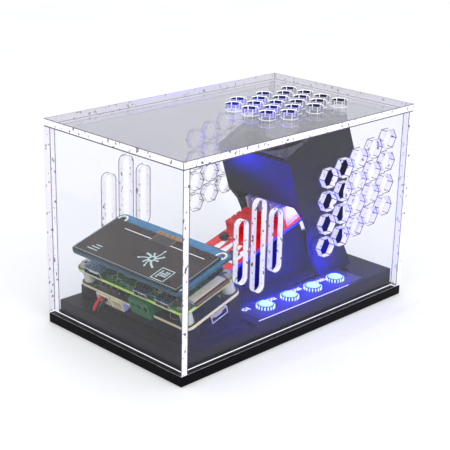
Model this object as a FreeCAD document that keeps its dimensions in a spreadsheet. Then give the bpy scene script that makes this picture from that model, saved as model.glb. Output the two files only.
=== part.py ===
import FreeCAD, Part
import Sketcher
import math
import os
import re

# A cased single board computer with a tilted board stack, a four-button hub, a plug-in
# stick board and a fan hood, under a clear lift-off cover.  Millimetres, +Z up.
# The origin is the bottom centre of the base plate.  X runs along the case, with the
# display end at -X.  The buttons are along the -Y side.

VECTOR = FreeCAD.Vector

# ---------------------------------------------------------------- driving dimensions
SIZES = [
    # case
    ("case_length", 134.0, "outside length of base plate and cover"),
    ("case_width", 80.4, "outside width of base plate and cover"),
    ("case_height", 87.2, "overall height"),
    ("base_thick", 4.2, "base plate thickness"),
    ("panel_thick", 3.0, "clear panel thickness"),
    ("cover_gap", 0.3, "clearance between cover and platform"),
    ("platform_thick", 6.0, "platform thickness at the display end"),
    ("deck_rise", 1.8, "step up from the platform to the deck"),
    ("deck_start", -24.0, "x where the deck begins"),
    ("notch_width", 12.0, "cable notch in the end panel"),
    ("notch_top", 24.0, "height of the notch's upper edge above the table"),
    # vents and slots
    ("vent_flats", 7.6, "hexagon width across flats"),
    ("vent_first_x", 14.4, "first vent column on the long panels"),
    ("vent_first_height", 35.2, "height of the lowest vent of that column"),
    ("vent_column_pitch", 9.25, "column spacing"),
    ("vent_column_rise", 2.45, "each column stands this much higher"),
    ("vent_row_pitch", 9.8, "row spacing"),
    ("lid_vent_flats", 6.0, "hexagon width across flats on the top panel"),
    ("lid_vent_x", 8.4, "first vent column on the top panel"),
    ("lid_vent_pitch_x", 8.0, "column spacing on the top panel"),
    ("lid_vent_pitch_y", 9.7, "row spacing on the top panel"),
    ("slot_centre_x", -26.0, "centre of the three upright slots"),
    ("slot_centre_height", 45.6, "their centre height"),
    ("slot_pitch", 9.6, "slot spacing"),
    ("slot_width", 5.4, "slot width"),
    ("slot_tall", 38.0, "length of the middle slot"),
    ("slot_short", 26.0, "length of the outer slots"),
    # board stack
    ("board_tilt", 17.0, "slope of the board stack in degrees"),
    ("stack_x", -42.45, "x of the stack's datum on the lower board's top face"),
    ("stack_lift", 7.514, "height of the lower board's lowest edge above the platform"),
    ("board_long", 65.0, "board length, across the case"),
    ("board_short", 30.0, "board width, up the slope"),
    ("board_corner", 3.0, "board corner radius"),
    ("board_thick", 1.5, "board thickness"),
    ("hole_inset", 3.5, "mounting hole distance from both edges"),
    ("hole_radius", 1.4, "mounting hole radius"),
    ("lower_gap", 5.7, "gap between lower board and main board"),
    ("upper_gap", 7.7, "gap between main board and display board"),
    ("spacer_radius", 2.5, "spacer outer radius"),
    ("screw_radius", 1.2, "stack screw shank radius"),
    ("screw_head_radius", 2.3, "stack screw head radius"),
    ("screw_head_height", 1.5, "stack screw head height"),
    ("post_size", 6.4, "stand post width"),
    ("bar_wide", 3.0, "stand cross bar width"),
    ("bar_thick", 1.6, "stand bar thickness"),
    ("post_bite", 4.0, "depth of the screw in the post"),
    ("display_long", 61.6, "display panel length"),
    ("display_short", 24.5, "display panel width"),
    ("display_thick", 1.1, "display panel thickness"),
    ("pin_pitch", 2.54, "header pin spacing"),
    ("screw_inset", 8.0, "platform screw distance from the platform's edges"),
    ("floor_screw", 1.25, "platform screw radius"),
    ("floor_head", 2.8, "platform screw head radius"),
    ("inlet_deep", 13.5, "power inlet depth"),
    ("inlet_wide", 9.0, "power inlet width"),
    ("inlet_tall", 10.5, "power inlet height"),
    ("inlet_centre", 5.6, "power inlet bore height above the deck"),
    ("inlet_bore", 3.2, "power inlet bore radius"),
    ("inlet_pin", 1.0, "power inlet centre pin radius"),
    # ports and connectors on the boards
    ("port_proud", 0.8, "how far a port stands past its board's edge"),
    ("shell_wall", 0.45, "port shell thickness"),
    ("tongue_thick", 0.6, "contact tongue thickness in a port"),
    ("hdmi_place", 12.4, "mini HDMI centre from the board's end"),
    ("hdmi_deep", 7.6, "mini HDMI depth"),
    ("hdmi_wide", 11.2, "mini HDMI width"),
    ("hdmi_tall", 3.2, "mini HDMI height"),
    ("usb_place", 41.4, "first micro USB centre from the board's end"),
    ("usb_spacing", 12.6, "micro USB spacing"),
    ("usb_deep", 5.6, "micro USB depth"),
    ("usb_wide", 7.8, "micro USB width"),
    ("usb_tall", 2.6, "micro USB height"),
    ("usb_c_deep", 7.3, "USB-C depth"),
    ("usb_c_wide", 8.9, "USB-C width"),
    ("usb_c_tall", 3.2, "USB-C height"),
    ("camera_long", 17.0, "camera connector length"),
    ("camera_deep", 4.0, "camera connector depth"),
    ("camera_tall", 1.9, "camera connector height"),
    ("card_wide", 11.0, "memory card width"),
    ("card_long", 13.0, "memory card length"),
    ("card_thick", 0.65, "memory card thickness"),
    ("processor_side", 11.0, "processor side"),
    ("processor_tall", 1.3, "processor height"),
    ("shield_long", 9.5, "radio shield length"),
    ("shield_wide", 8.5, "radio shield width"),
    ("shield_tall", 1.4, "radio shield height"),
    ("terminal_y", -13.4, "terminal block's edge across the case"),
    ("terminal_wide", 11.6, "terminal block width"),
    ("terminal_deep", 6.4, "terminal block depth on the board"),
    ("terminal_bore", 1.1, "terminal hole radius"),
    ("terminal_lip", 1.8, "terminal block overhang"),
    ("connector_wall", 0.8, "battery connector wall"),
    # hub
    ("hub_x", 12.7, "x of the hub centre"),
    ("hub_y", -28.4, "y of the hub centre"),
    ("hub_length", 66.0, "hub length"),
    ("hub_width", 14.0, "hub width"),
    ("hub_gap", 0.25, "clearance round the hub in its pocket"),
    ("hub_floor", 1.2, "platform left under the hub"),
    ("hub_wall", 1.4, "hub shell wall"),
    ("button_pitch", 14.7, "button spacing"),
    ("button_y", -28.6, "y of the button row"),
    ("button_radius", 3.5, "button radius"),
    ("button_gap", 0.2, "clearance round a button"),
    ("button_proud", 2.5, "button height above the hub lid"),
    ("button_flange", 0.9, "flange wider than the button by this"),
    # plug-in stick
    ("stick_tilt", 16.3, "slope of the stick board in degrees"),
    ("stick_x", 5.0, "x of the stick's datum on its top face"),
    ("stick_height", 29.9, "height of that datum"),
    ("stick_width", 24.0, "stick board width"),
    ("stick_low", 28.0, "stick board length below the datum"),
    ("stick_high", 32.0, "stick board length above the datum"),
    ("stick_thick", 1.6, "stick board thickness"),
    ("spreader_start", 3.5, "lower end of the red heat spreader"),
    ("spreader_thick", 4.0, "heat spreader thickness"),
    ("sink_start", 17.0, "lower end of the finned heat sink"),
    ("sink_length", 14.0, "finned heat sink length"),
    ("sink_height", 9.4, "finned heat sink height"),
    ("fin_thick", 0.9, "fin thickness"),
    ("cradle_width", 21.0, "cradle width"),
    ("cradle_foot_x", 40.3, "upper end of the cradle's foot"),
    ("cradle_knee_x", 35.6, "x where the cradle's end face bends"),
    ("cradle_knee_height", 24.7, "height of that bend"),
    ("cradle_top_x", 28.4, "upper end of the cradle under the stick"),
    # fan and hood
    ("fan_tilt", 24.0, "slope of the fan in degrees"),
    ("hood_x", 10.7, "x of the hood's lower rim edge"),
    ("hood_lid_gap", 1.32, "room between the hood's highest edge and the top panel"),
    ("hood_side", 3.0, "hood side thickness"),
    ("hood_wall", 1.6, "hood sloping wall thickness"),
    ("rim_border", 1.9, "rim between fan and hood edge"),
    ("fan_size", 35.0, "fan frame side"),
    ("fan_depth", 10.0, "fan frame depth"),
    ("fan_rim", 0.8, "fan frame left beside its opening"),
    ("fan_hole_inset", 3.0, "fan screw distance from the frame's sides"),
    ("fan_screw", 1.3, "fan screw radius"),
    ("fan_gap", 0.2, "clearance round the fan frame"),
    ("rotor_gap", 0.7, "clearance between the blades and the opening"),
    ("rotor_hub", 9.0, "rotor hub radius"),
    ("face_run", 7.3, "hood front face: run from its top to its bottom edge"),
    ("face_drop", 21.6, "hood front face: drop from its top to its bottom edge"),
    ("waist_run", 15.5, "leg front edge: run to the waist"),
    ("waist_drop", 33.1, "leg front edge: drop to the waist"),
    ("shoulder_reach", 7.55, "hood back: run from the rim to the shoulder"),
    ("shoulder_drop", 3.0, "hood back: drop to the shoulder"),
    ("back_reach", 1.15, "hood back: run from the rim to its bottom edge"),
    ("back_drop", 19.0, "hood back: drop to its bottom edge"),
    ("foot_run", 23.1, "run to the front of a foot"),
    ("foot_length", 19.4, "length of a foot along the case"),
    ("ankle_run", 4.9, "leg front edge: run from the ankle to the foot"),
    ("ankle_rise", 8.0, "height of the ankle above the deck"),
    ("heel_run", 2.0, "foot end beyond the leg's back edge"),
    ("heel_rise", 4.0, "height of the heel's bend above the deck"),
    ("calf_rise", 13.0, "height above the deck where the leg's back edge turns"),
    ("throat_run", 5.4, "leg front edge: run of the short bend below the face"),
    ("throat_drop", 6.0, "leg front edge: drop of that bend"),
    ("ledge_width", 6.0, "ledge under the fan"),
    ("ledge_thick", 2.0, "ledge thickness"),
    ("tenon_depth", 3.0, "hood foot depth in the deck"),
    ("foot_gap", 0.15, "clearance round a hood foot"),
    # leads
    ("lead_radius", 0.65, "supply lead radius"),
    ("lead_spread", 1.3, "supply lead offset from the connector's middle"),
    ("lead_hole_x", -60.0, "x of the lead holes in the platform"),
    ("lead_hole_depth", 4.0, "depth of those holes"),
    ("connector_y", 14.2, "first battery connector's edge"),
    ("connector_wide", 7.8, "battery connector width"),
    ("connector_tall", 4.2, "battery connector height"),
    ("connector_deep", 7.0, "battery connector depth"),
    ("connector_pitch", 8.6, "battery connector spacing"),
]

# Chips on the lower board and on the stick: corner along the slope, corner across, then
# length, width and height.
POWER_CHIPS = [
    ("-3", "-24", "7", "7", "3"), ("4", "-14", "5", "5", "1.2"), ("-9", "10", "4", "6", "2.2"),
    ("-2", "8", "6", "6", "1.4"), ("5", "18", "3", "5", "1.8"),
]
STICK_CHIPS = [
    ("-14", "-8", "5", "5", "1"), ("-15", "2", "4", "6", "1.4"), ("-4", "6", "3", "3", "2"),
]

# Blade angle to the fan's plane, in degrees.
BLADE_PITCH = 36

# Counts of what repeats.
TERMINALS = 3
LID_COLUMNS = 6
LID_ROWS = 3
VENT_COLUMNS = 5
VENT_ROWS = 4
BUTTONS = 4
BLADES = 7
FINS = 7
HEADER_PINS = 20

# Values worked out from the driving dimensions.
DERIVED = {
    "base_top": "base_thick",
    "platform_top": "base_thick + platform_thick",
    "deck_top": "base_thick + platform_thick + deck_rise",
    "inner_x": "case_length / 2 - panel_thick",
    "inner_y": "case_width / 2 - panel_thick",
    "platform_x": "case_length / 2 - panel_thick - cover_gap",
    "platform_y": "case_width / 2 - panel_thick - cover_gap",
    "lid_bottom": "case_height - panel_thick",
    "hole_u": "board_short / 2 - hole_inset",
    "hole_v": "board_long / 2 - hole_inset",
    "main_low": "lower_gap",
    "main_top": "lower_gap + board_thick",
    "display_low": "lower_gap + board_thick + upper_gap",
    "display_top": "lower_gap + 2 * board_thick + upper_gap",
    "hub_low": "base_thick + hub_floor",
    "hub_board_top": "base_thick + hub_floor + hub_wall + 1.6",
    "hub_lid_low": "base_thick + hub_floor + 5.0",
    "button_low": "base_thick + platform_thick + deck_rise - 2.1",
    "rim_length": "fan_size + 2 * rim_border",
    "hood_width": "fan_size + 2 * fan_gap + 2 * hood_side",
    "side_inner": "fan_size / 2 + fan_gap",
    "fan_bore": "fan_size / 2 - fan_rim",
    "fan_hole_pitch": "fan_size - 2 * fan_hole_inset",
    "rotor_radius": "fan_size / 2 - fan_rim - rotor_gap",
    "fan_centre": "rim_border + fan_size / 2",
    "foot_x": "hood_x + foot_run",
    "stack_height": "platform_top + stack_lift + board_short / 2 * sin(board_tilt)",
    "hood_height": "lid_bottom - hood_lid_gap - rim_length * sin(fan_tilt)",
    "shoulder_run": "rim_length * cos(fan_tilt) + shoulder_reach",
    "back_run": "rim_length * cos(fan_tilt) + back_reach",
    "pin_first": f"-{(HEADER_PINS - 1) / 2} * pin_pitch",
    "header_long": f"{HEADER_PINS} * pin_pitch",
    "lead_y": "connector_y + connector_wide / 2",
}

# The sloping frames: name -> (x, z, tilt in degrees).  In such a frame X runs up the
# slope, Y across the case and Z out of the face.
FRAMES = {
    "stack": ("stack_x", "stack_height", "board_tilt"),
    "stick": ("stick_x", "stick_height", "stick_tilt"),
    "fan": ("hood_x", "hood_height", "fan_tilt"),
}

doc = FreeCAD.newDocument("CasedComputer")
sheet = doc.addObject("Spreadsheet::Sheet", "Sizes")
for row, (alias, value, note) in enumerate(SIZES, start=1):
    sheet.set(f"A{row}", note)
    sheet.set(f"B{row}", str(value))
    sheet.setAlias(f"B{row}", alias)
doc.recompute()

VALUES = {alias: value for alias, value, note in SIZES}
pieces = []


def expand(text):
    """Write derived names out and point every alias at the sheet."""
    def swap(match):
        word = match.group(0)
        if word in DERIVED:
            return "(" + expand(DERIVED[word]) + ")"
        if word in VALUES:
            return "Sizes." + word
        return word
    return re.sub(r"[a-z_]+", swap, str(text))


def bind(thing, path, text):
    thing.setExpression(path, expand(text))


def turned(frame, u, w):
    """Case x and z of a point given in a sloping frame."""
    x, z, tilt = FRAMES[frame]
    return (f"{x} + ({u}) * cos({tilt}) - ({w}) * sin({tilt})",
            f"{z} + ({u}) * sin({tilt}) + ({w}) * cos({tilt})")


class Piece:
    """One sub-part: a body whose features are bound to the sheet."""

    AXES = {
        "Z": FreeCAD.Rotation(),
        "X": FreeCAD.Rotation(VECTOR(0, 1, 0), 90),
        "Y": FreeCAD.Rotation(VECTOR(1, 0, 0), -90),
    }

    def __init__(self, node, frame=None):
        self.node = node
        self.body = doc.addObject("PartDesign::Body", node)
        self.body.Label = node
        self.body.AllowCompound = True
        self.count = 0
        self.last = None
        pieces.append(self)
        if frame:
            x, z, tilt = FRAMES[frame]
            self.body.Placement = FreeCAD.Placement(VECTOR(), FreeCAD.Rotation(VECTOR(0, -1, 0), 1))
            bind(self.body, "Placement.Base.x", x)
            bind(self.body, "Placement.Base.z", z)
            bind(self.body, "Placement.Rotation.Angle", tilt)

    def feature(self, shape, cut):
        self.count += 1
        prefix = "Subtractive" if cut else "Additive"
        self.last = self.body.newObject(f"PartDesign::{prefix}{shape}", f"{self.node}_step{self.count}")
        return self.last

    def repeat(self, items, role, reach, count):
        """Repeat features in a line along one of the body's own axes."""
        self.count += 1
        pattern = self.body.newObject("PartDesign::LinearPattern", f"{self.node}_step{self.count}")
        axis = [item for item in self.body.Origin.OriginFeatures if item.Role == role][0]
        pattern.Originals = items
        pattern.Direction = (axis, [""])
        bind(pattern, "Length", reach)
        pattern.Occurrences = count
        self.body.Tip = pattern

    def put(self, item, base, rotation=None):
        item.Placement = FreeCAD.Placement(VECTOR(), rotation or FreeCAD.Rotation())
        for letter, text in zip("xyz", base):
            bind(item, f"Placement.Base.{letter}", text)

    def box(self, low, size, cut=False, rotation=None):
        item = self.feature("Box", cut)
        self.put(item, low, rotation)
        for name, text in zip(("Length", "Width", "Height"), size):
            bind(item, name, text)
        return self

    def rod(self, start, radius, length, axis="Z", cut=False):
        item = self.feature("Cylinder", cut)
        self.put(item, start, self.AXES[axis])
        bind(item, "Radius", radius)
        bind(item, "Height", length)
        return self

    def cone(self, start, first, second, length, axis="Z", cut=False):
        item = self.feature("Cone", cut)
        self.put(item, start, self.AXES[axis])
        bind(item, "Radius1", first)
        bind(item, "Radius2", second)
        bind(item, "Height", length)
        return self

    def hexagon(self, start, flats, length, axis="Z"):
        """A through hole with six sides."""
        item = self.feature("Prism", True)
        self.put(item, start, self.AXES[axis])
        item.Polygon = 6
        bind(item, "Circumradius", f"({flats}) / (2 * cos(30))")
        bind(item, "Height", length)
        return self

    def tilted_box(self, frame, low, size, cut=False):
        """A box that lies in a sloping frame, in an upright piece."""
        x, z = turned(frame, low[0], low[2])
        item = self.feature("Box", cut)
        self.put(item, (x, low[1], z), FreeCAD.Rotation(VECTOR(0, -1, 0), 1))
        bind(item, "Placement.Rotation.Angle", FRAMES[frame][2])
        for name, text in zip(("Length", "Width", "Height"), size):
            bind(item, name, text)
        return self

    def tilted_bore(self, frame, start, radius, length):
        x, z = turned(frame, start[0], start[2])
        item = self.feature("Cylinder", True)
        self.put(item, (x, start[1], z), FreeCAD.Rotation(VECTOR(0, -1, 0), 1))
        bind(item, "Placement.Rotation.Angle", FRAMES[frame][2])
        bind(item, "Radius", radius)
        bind(item, "Height", length)
        return self

    def outline(self, points, near, thick):
        """Pad a closed outline of (x, z) corners towards +Y from y = near."""
        self.count += 1
        sketch = self.body.newObject("Sketcher::SketchObject", f"{self.node}_outline{self.count}")
        plane = [item for item in self.body.Origin.OriginFeatures if item.Role == "XZ_Plane"][0]
        sketch.AttachmentSupport = (plane, [""])
        sketch.MapMode = "FlatFace"
        bind(sketch, "AttachmentOffset.Base.z", f"-(({near}) + ({thick}))")
        steps = [2 * math.pi * index / len(points) for index in range(len(points))]
        corners = [VECTOR(math.cos(angle), math.sin(angle), 0) for angle in steps]
        for index, corner in enumerate(corners):
            following = corners[(index + 1) % len(corners)]
            sketch.addGeometry(Part.LineSegment(corner, following), False)
        for index in range(len(corners)):
            following = (index + 1) % len(corners)
            sketch.addConstraint(Sketcher.Constraint("Coincident", index, 2, following, 1))
        for index, (across, up) in enumerate(points):
            corner = corners[index]
            for kind, text, value in (("DistanceX", across, corner.x), ("DistanceY", up, corner.y)):
                number = sketch.addConstraint(Sketcher.Constraint(kind, -1, 1, index, 1, value))
                bind(sketch, f"Constraints[{number}]", text)
        pad = self.body.newObject("PartDesign::Pad", f"{self.node}_step{self.count}")
        pad.Profile = sketch
        bind(pad, "Length", thick)
        return self


def quarter_corners():
    return [(u, v) for u in (-1, 1) for v in (-1, 1)]


# ---------------------------------------------------------------- case
def make_base_plate():
    base = Piece("base_plate")
    base.box(("-case_length / 2", "-case_width / 2", "0"), ("case_length", "case_width", "base_thick"))
    for x, y in quarter_corners():
        spot = (f"{x} * (platform_x - screw_inset)", f"{y} * (platform_y - screw_inset)")
        base.rod((*spot, "-1"), "floor_screw + 0.35", "base_thick + 2", cut=True)
        base.cone((*spot, "0"), "floor_head + 0.3", "floor_screw + 0.35", "1.7", cut=True)
    return base


def make_platform():
    tray = Piece("platform")
    tray.box(("-platform_x", "-platform_y", "base_top"),
             ("2 * platform_x", "2 * platform_y", "platform_thick"))
    tray.box(("deck_start", "-platform_y", "base_top + platform_thick / 2"),
             ("platform_x - deck_start", "2 * platform_y", "platform_thick / 2 + deck_rise"))
    tray.box(("hub_x - hub_length / 2 - hub_gap", "hub_y - hub_width / 2 - hub_gap", "hub_low"),
             ("hub_length + 2 * hub_gap", "hub_width + 2 * hub_gap", "platform_thick + deck_rise"),
             cut=True)
    for x, y in quarter_corners():
        spot = (f"{x} * (platform_x - screw_inset)", f"{y} * (platform_y - screw_inset)", "base_top - 1")
        tray.rod(spot, "floor_screw", "5.5", cut=True)
    for side in (-1, 1):
        tray.rod(("lead_hole_x", f"lead_y + {side} * lead_spread", "platform_top - lead_hole_depth"),
                 "lead_radius + 0.3", "lead_hole_depth + 1", cut=True)
        near = "-hood_width / 2" if side < 0 else "side_inner"
        tray.box(("foot_x - foot_gap", f"{near} - foot_gap", "deck_top - tenon_depth"),
                 ("foot_length + 2 * foot_gap", "hood_side + 2 * foot_gap", "tenon_depth + 1"),
                 cut=True)
    return tray


def make_platform_screws():
    screws = Piece("platform_screws")
    for x, y in quarter_corners():
        spot = (f"{x} * (platform_x - screw_inset)", f"{y} * (platform_y - screw_inset)")
        screws.rod((*spot, "1"), "floor_screw", "base_thick + 3")
        screws.cone((*spot, "0.3"), "floor_head", "floor_screw", "1.5")
        screws.hexagon((*spot, "-1"), "1.6", "2.3")
    return screws


def make_cover():
    top = Piece("cover_top")
    top.box(("-case_length / 2", "-case_width / 2", "lid_bottom"),
            ("case_length", "case_width", "panel_thick"))
    for column in range(LID_COLUMNS):
        rows = LID_ROWS + column % 2
        for row in range(rows):
            y = f"({row} - {(rows - 1) / 2}) * lid_vent_pitch_y"
            x = f"lid_vent_x + {column} * lid_vent_pitch_x"
            top.hexagon((x, y, "lid_bottom - 1"), "lid_vent_flats", "panel_thick + 2")
    for node, low in (("cover_front", "-case_width / 2"), ("cover_rear", "inner_y")):
        wall = Piece(node)
        wall.box(("-inner_x", low, "base_top"),
                 ("2 * inner_x", "panel_thick", "lid_bottom - base_top"))
        for column in range(VENT_COLUMNS):
            for row in range(VENT_ROWS):
                x = f"vent_first_x + {column} * vent_column_pitch"
                z = f"vent_first_height + {column} * vent_column_rise + {row} * vent_row_pitch"
                wall.hexagon((x, f"{low} - 1", z), "vent_flats", "panel_thick + 2", axis="Y")
        for place in (-1, 0, 1):
            length = "slot_short" if place else "slot_tall"
            x = f"slot_centre_x + {place} * slot_pitch"
            straight = f"{length} - slot_width"
            wall.box((f"{x} - slot_width / 2", f"{low} - 1", f"slot_centre_height - ({straight}) / 2"),
                     ("slot_width", "panel_thick + 2", straight), cut=True)
            for end in (-1, 1):
                wall.rod((x, f"{low} - 1", f"slot_centre_height + {end} * ({straight}) / 2"),
                         "slot_width / 2", "panel_thick + 2", axis="Y", cut=True)
    left = Piece("cover_left_end")
    left.box(("-case_length / 2", "-case_width / 2", "base_top"),
             ("panel_thick", "case_width", "lid_bottom - base_top"))
    right = Piece("cover_right_end")
    right.box(("inner_x", "-case_width / 2", "base_top"),
              ("panel_thick", "case_width", "lid_bottom - base_top"))
    right.box(("inner_x - 1", "-notch_width / 2", "base_top - 1"),
              ("panel_thick + 2", "notch_width", "notch_top - base_top + 1"), cut=True)


def make_power_inlet():
    inlet = Piece("power_inlet")
    inlet.box(("inner_x - cover_gap - inlet_deep", "-inlet_wide / 2", "deck_top"),
              ("inlet_deep", "inlet_wide", "inlet_tall"))
    inlet.rod(("inner_x - 10", "0", "deck_top + inlet_centre"), "inlet_bore", "11", axis="X", cut=True)
    inlet.rod(("inner_x - 10.2", "0", "deck_top + inlet_centre"), "inlet_pin", "8", axis="X")
    return inlet


# ---------------------------------------------------------------- board stack
def rounded_board(piece, low, long="board_long", short="board_short", holes=True):
    """A board with round corners: two crossing slabs and four corner discs."""
    piece.box((f"-{short} / 2 + board_corner", f"-{long} / 2", low),
              (f"{short} - 2 * board_corner", long, "board_thick"))
    piece.box((f"-{short} / 2", f"-{long} / 2 + board_corner", low),
              (short, f"{long} - 2 * board_corner", "board_thick"))
    for u, v in quarter_corners():
        spot = (f"{u} * ({short} / 2 - board_corner)", f"{v} * ({long} / 2 - board_corner)", low)
        piece.rod(spot, "board_corner", "board_thick")
    if holes:
        for u, v in quarter_corners():
            piece.rod((f"{u} * hole_u", f"{v} * hole_v", f"{low} - 1"), "hole_radius",
                      "board_thick + 2", cut=True)


def make_stand():
    stand = Piece("stack_stand")
    front, back = [turned("stack", f"{u} * hole_u", "-board_thick")[0] for u in (-1, 1)]
    tall = "stack_height + board_short / 2 * sin(board_tilt) - platform_top"
    for v in (-1, 1):
        y = f"{v} * hole_v - post_size / 2"
        for x in (front, back):
            stand.box((f"{x} - post_size / 2", y, "platform_top"), ("post_size", "post_size", tall))
        stand.box((f"{front} - post_size / 2", y, "platform_top"),
                  ("2 * hole_u * cos(board_tilt) + post_size", "post_size", "bar_thick"))
    stand.box((f"{front} - post_size / 2", "-hole_v", "platform_top"),
              ("bar_wide", "2 * hole_v", "bar_thick"))
    stand.tilted_box("stack", ("-board_short", "-board_long", "-board_thick"),
                     ("2 * board_short", "2 * board_long", "board_short"), cut=True)
    for u, v in quarter_corners():
        stand.tilted_bore("stack", (f"{u} * hole_u", f"{v} * hole_v", "-board_thick - post_bite"),
                          "screw_radius", "post_bite + 1")
    return stand


def port(piece, low, size, wall="shell_wall", mouth="-1"):
    """A metal socket: a shell open at one side, with a tongue inside.  mouth is -1 for an
    opening at low U and 0 for one at low V."""
    u, v, w = low
    deep, wide, tall = size
    if mouth == "-1":
        piece.box(low, (deep, wide, tall))
        piece.box((f"{u} - 1", f"{v} + {wall}", f"{w} + {wall}"),
                  (f"{deep} - {wall} + 0.4", f"{wide} - 2 * {wall}", f"{tall} - 2 * {wall}"), cut=True)
        piece.box((f"{u} + 0.7", f"{v} + {wide} / 4", f"{w} + {tall} / 2 - tongue_thick / 2"),
                  (f"{deep} - 1", f"{wide} / 2", "tongue_thick"))
    else:
        piece.box(low, (wide, deep, tall))
        piece.box((f"{u} + {wall}", f"{v} - 1", f"{w} + {wall}"),
                  (f"{wide} - 2 * {wall}", f"{deep} - {wall} + 0.4", f"{tall} - 2 * {wall}"), cut=True)
        piece.box((f"{u} + {wide} / 4", f"{v} + 0.7", f"{w} + {tall} / 2 - tongue_thick / 2"),
                  (f"{wide} / 2", f"{deep} - 1", "tongue_thick"))


def make_power_board():
    board = Piece("power_board", "stack")
    rounded_board(board, "-board_thick")
    chips = Piece("power_board_chips", "stack")
    for u, v, long, wide, tall in POWER_CHIPS:
        chips.box((u, v, "0"), (long, wide, tall))
    plug = Piece("power_usb_port", "stack")
    port(plug, ("-3.4", "-board_long / 2 - port_proud", "-board_thick - usb_c_tall"),
         ("usb_c_deep", "usb_c_wide", "usb_c_tall"), mouth="0")
    sockets = Piece("battery_connectors", "stack")
    for number in range(2):
        v = f"connector_y - {number} * connector_pitch"
        low = "-board_thick - connector_tall"
        sockets.box(("-board_short / 2 - 0.4", v, low),
                    ("connector_deep", "connector_wide", "connector_tall"))
        sockets.box(("-board_short / 2 - 1", f"{v} + connector_wall", f"{low} + connector_wall"),
                    ("connector_deep - 2", "connector_wide - 2 * connector_wall",
                     "connector_tall - 2 * connector_wall"), cut=True)
    green = Piece("terminal_block", "stack")
    green.box(("-board_short / 2", "terminal_y", "0"),
              ("terminal_deep", "terminal_wide", "lower_gap - 0.4"))
    green.box(("-board_short / 2 - terminal_lip", "terminal_y", "-board_thick"),
              ("terminal_lip", "terminal_wide", "lower_gap - 0.4 + board_thick"))
    for hole in range(TERMINALS):
        v = f"terminal_y + ({hole} + 0.5) * terminal_wide / {TERMINALS}"
        green.rod(("-board_short / 2 - terminal_lip - 1", v, "lower_gap / 2"), "terminal_bore", "4",
                  axis="X", cut=True)


def make_spacers():
    spacers = Piece("lower_spacers", "stack")
    for u, v in quarter_corners():
        spot = (f"{u} * hole_u", f"{v} * hole_v")
        spacers.rod((*spot, "0"), "spacer_radius", "lower_gap")
        spacers.rod((*spot, "-1"), "hole_radius", "lower_gap + 2", cut=True)
    screws = Piece("stack_screws", "stack")
    for u, v in quarter_corners():
        spot = (f"{u} * hole_u", f"{v} * hole_v")
        screws.rod((*spot, "-board_thick - post_bite + 0.4"), "screw_radius",
                   "main_top + board_thick + post_bite - 0.4")
        screws.rod((*spot, "main_top"), "screw_head_radius", "screw_head_height")
        screws.hexagon((*spot, "main_top + 0.7"), "1.5", "screw_head_height")
    return screws


def make_main_board():
    board = Piece("main_board", "stack")
    rounded_board(board, "main_low")
    chip = Piece("processor", "stack")
    chip.box(("-processor_side / 2", "-processor_side / 2 + 0.5", "main_top"),
             ("processor_side", "processor_side", "processor_tall"))
    shield = Piece("radio_shield", "stack")
    shield.box(("-4", "9", "main_top"), ("shield_long", "shield_wide", "shield_tall"))
    small = Piece("main_board_parts", "stack")
    for number in range(6):
        small.box(("6.6", f"-20 + {number} * 5", "main_top"), ("0.8", "1.6", "0.7"))
        small.box(("-8.2", f"-1.5 + {number} * 2.2", "main_top"), ("1.6", "0.8", "0.6"))
    small.box(("-10", "-15.6", "main_top"), ("3.2", "3", "1"))
    hdmi = Piece("mini_hdmi_port", "stack")
    port(hdmi, ("-board_short / 2 - port_proud", "board_long / 2 - hdmi_place - hdmi_wide / 2", "main_top"),
         ("hdmi_deep", "hdmi_wide", "hdmi_tall"))
    ports = Piece("micro_usb_ports", "stack")
    for place in ("usb_place", "usb_place + usb_spacing"):
        low = ("-board_short / 2 - port_proud", f"board_long / 2 - ({place}) - usb_wide / 2", "main_top")
        port(ports, low, ("usb_deep", "usb_wide", "usb_tall"))
    camera = Piece("camera_connector", "stack")
    edge = "-board_long / 2"
    camera.box(("-camera_long / 2", f"{edge} + 0.2", "main_top"),
               ("camera_long", "camera_deep", "camera_tall"))
    camera.box(("-camera_long / 2 + 0.9", f"{edge} - 0.4", "main_top + camera_tall / 2"),
               ("camera_long - 1.8", "camera_deep - 1", "0.55"), cut=True)
    latch = Piece("camera_latch", "stack")
    latch.box(("-camera_long / 2 - 0.7", f"{edge} - 1.4", "main_top + 0.2"),
              ("camera_long + 1.4", "1.2", "camera_tall - 0.4"))
    latch.box(("-camera_long / 2 + 1.1", f"{edge} - 0.3", "main_top + camera_tall / 2 + 0.1"),
              ("camera_long - 2.2", "1.6", "0.35"))
    slot = Piece("sd_socket", "stack")
    slot.box(("-card_wide / 2 - 0.7", "board_long / 2 - card_long + 0.4", "main_top"),
             ("card_wide + 1.4", "card_long - 1", "1.6"))
    slot.box(("-card_wide / 2 - 0.25", "board_long / 2 - card_long + 1.1", "main_top + 0.4"),
             ("card_wide + 0.5", "card_long", "card_thick + 0.2"), cut=True)
    card = Piece("sd_card", "stack")
    card.box(("-card_wide / 2", "board_long / 2 - card_long + 1.3", "main_top + 0.5"),
             ("card_wide", "card_long", "card_thick"))
    card.box(("-card_wide / 2", "board_long / 2 + 0.7", "main_top + 0.5 + card_thick - 0.05"),
             ("card_wide", "0.6", "0.35"))


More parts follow.
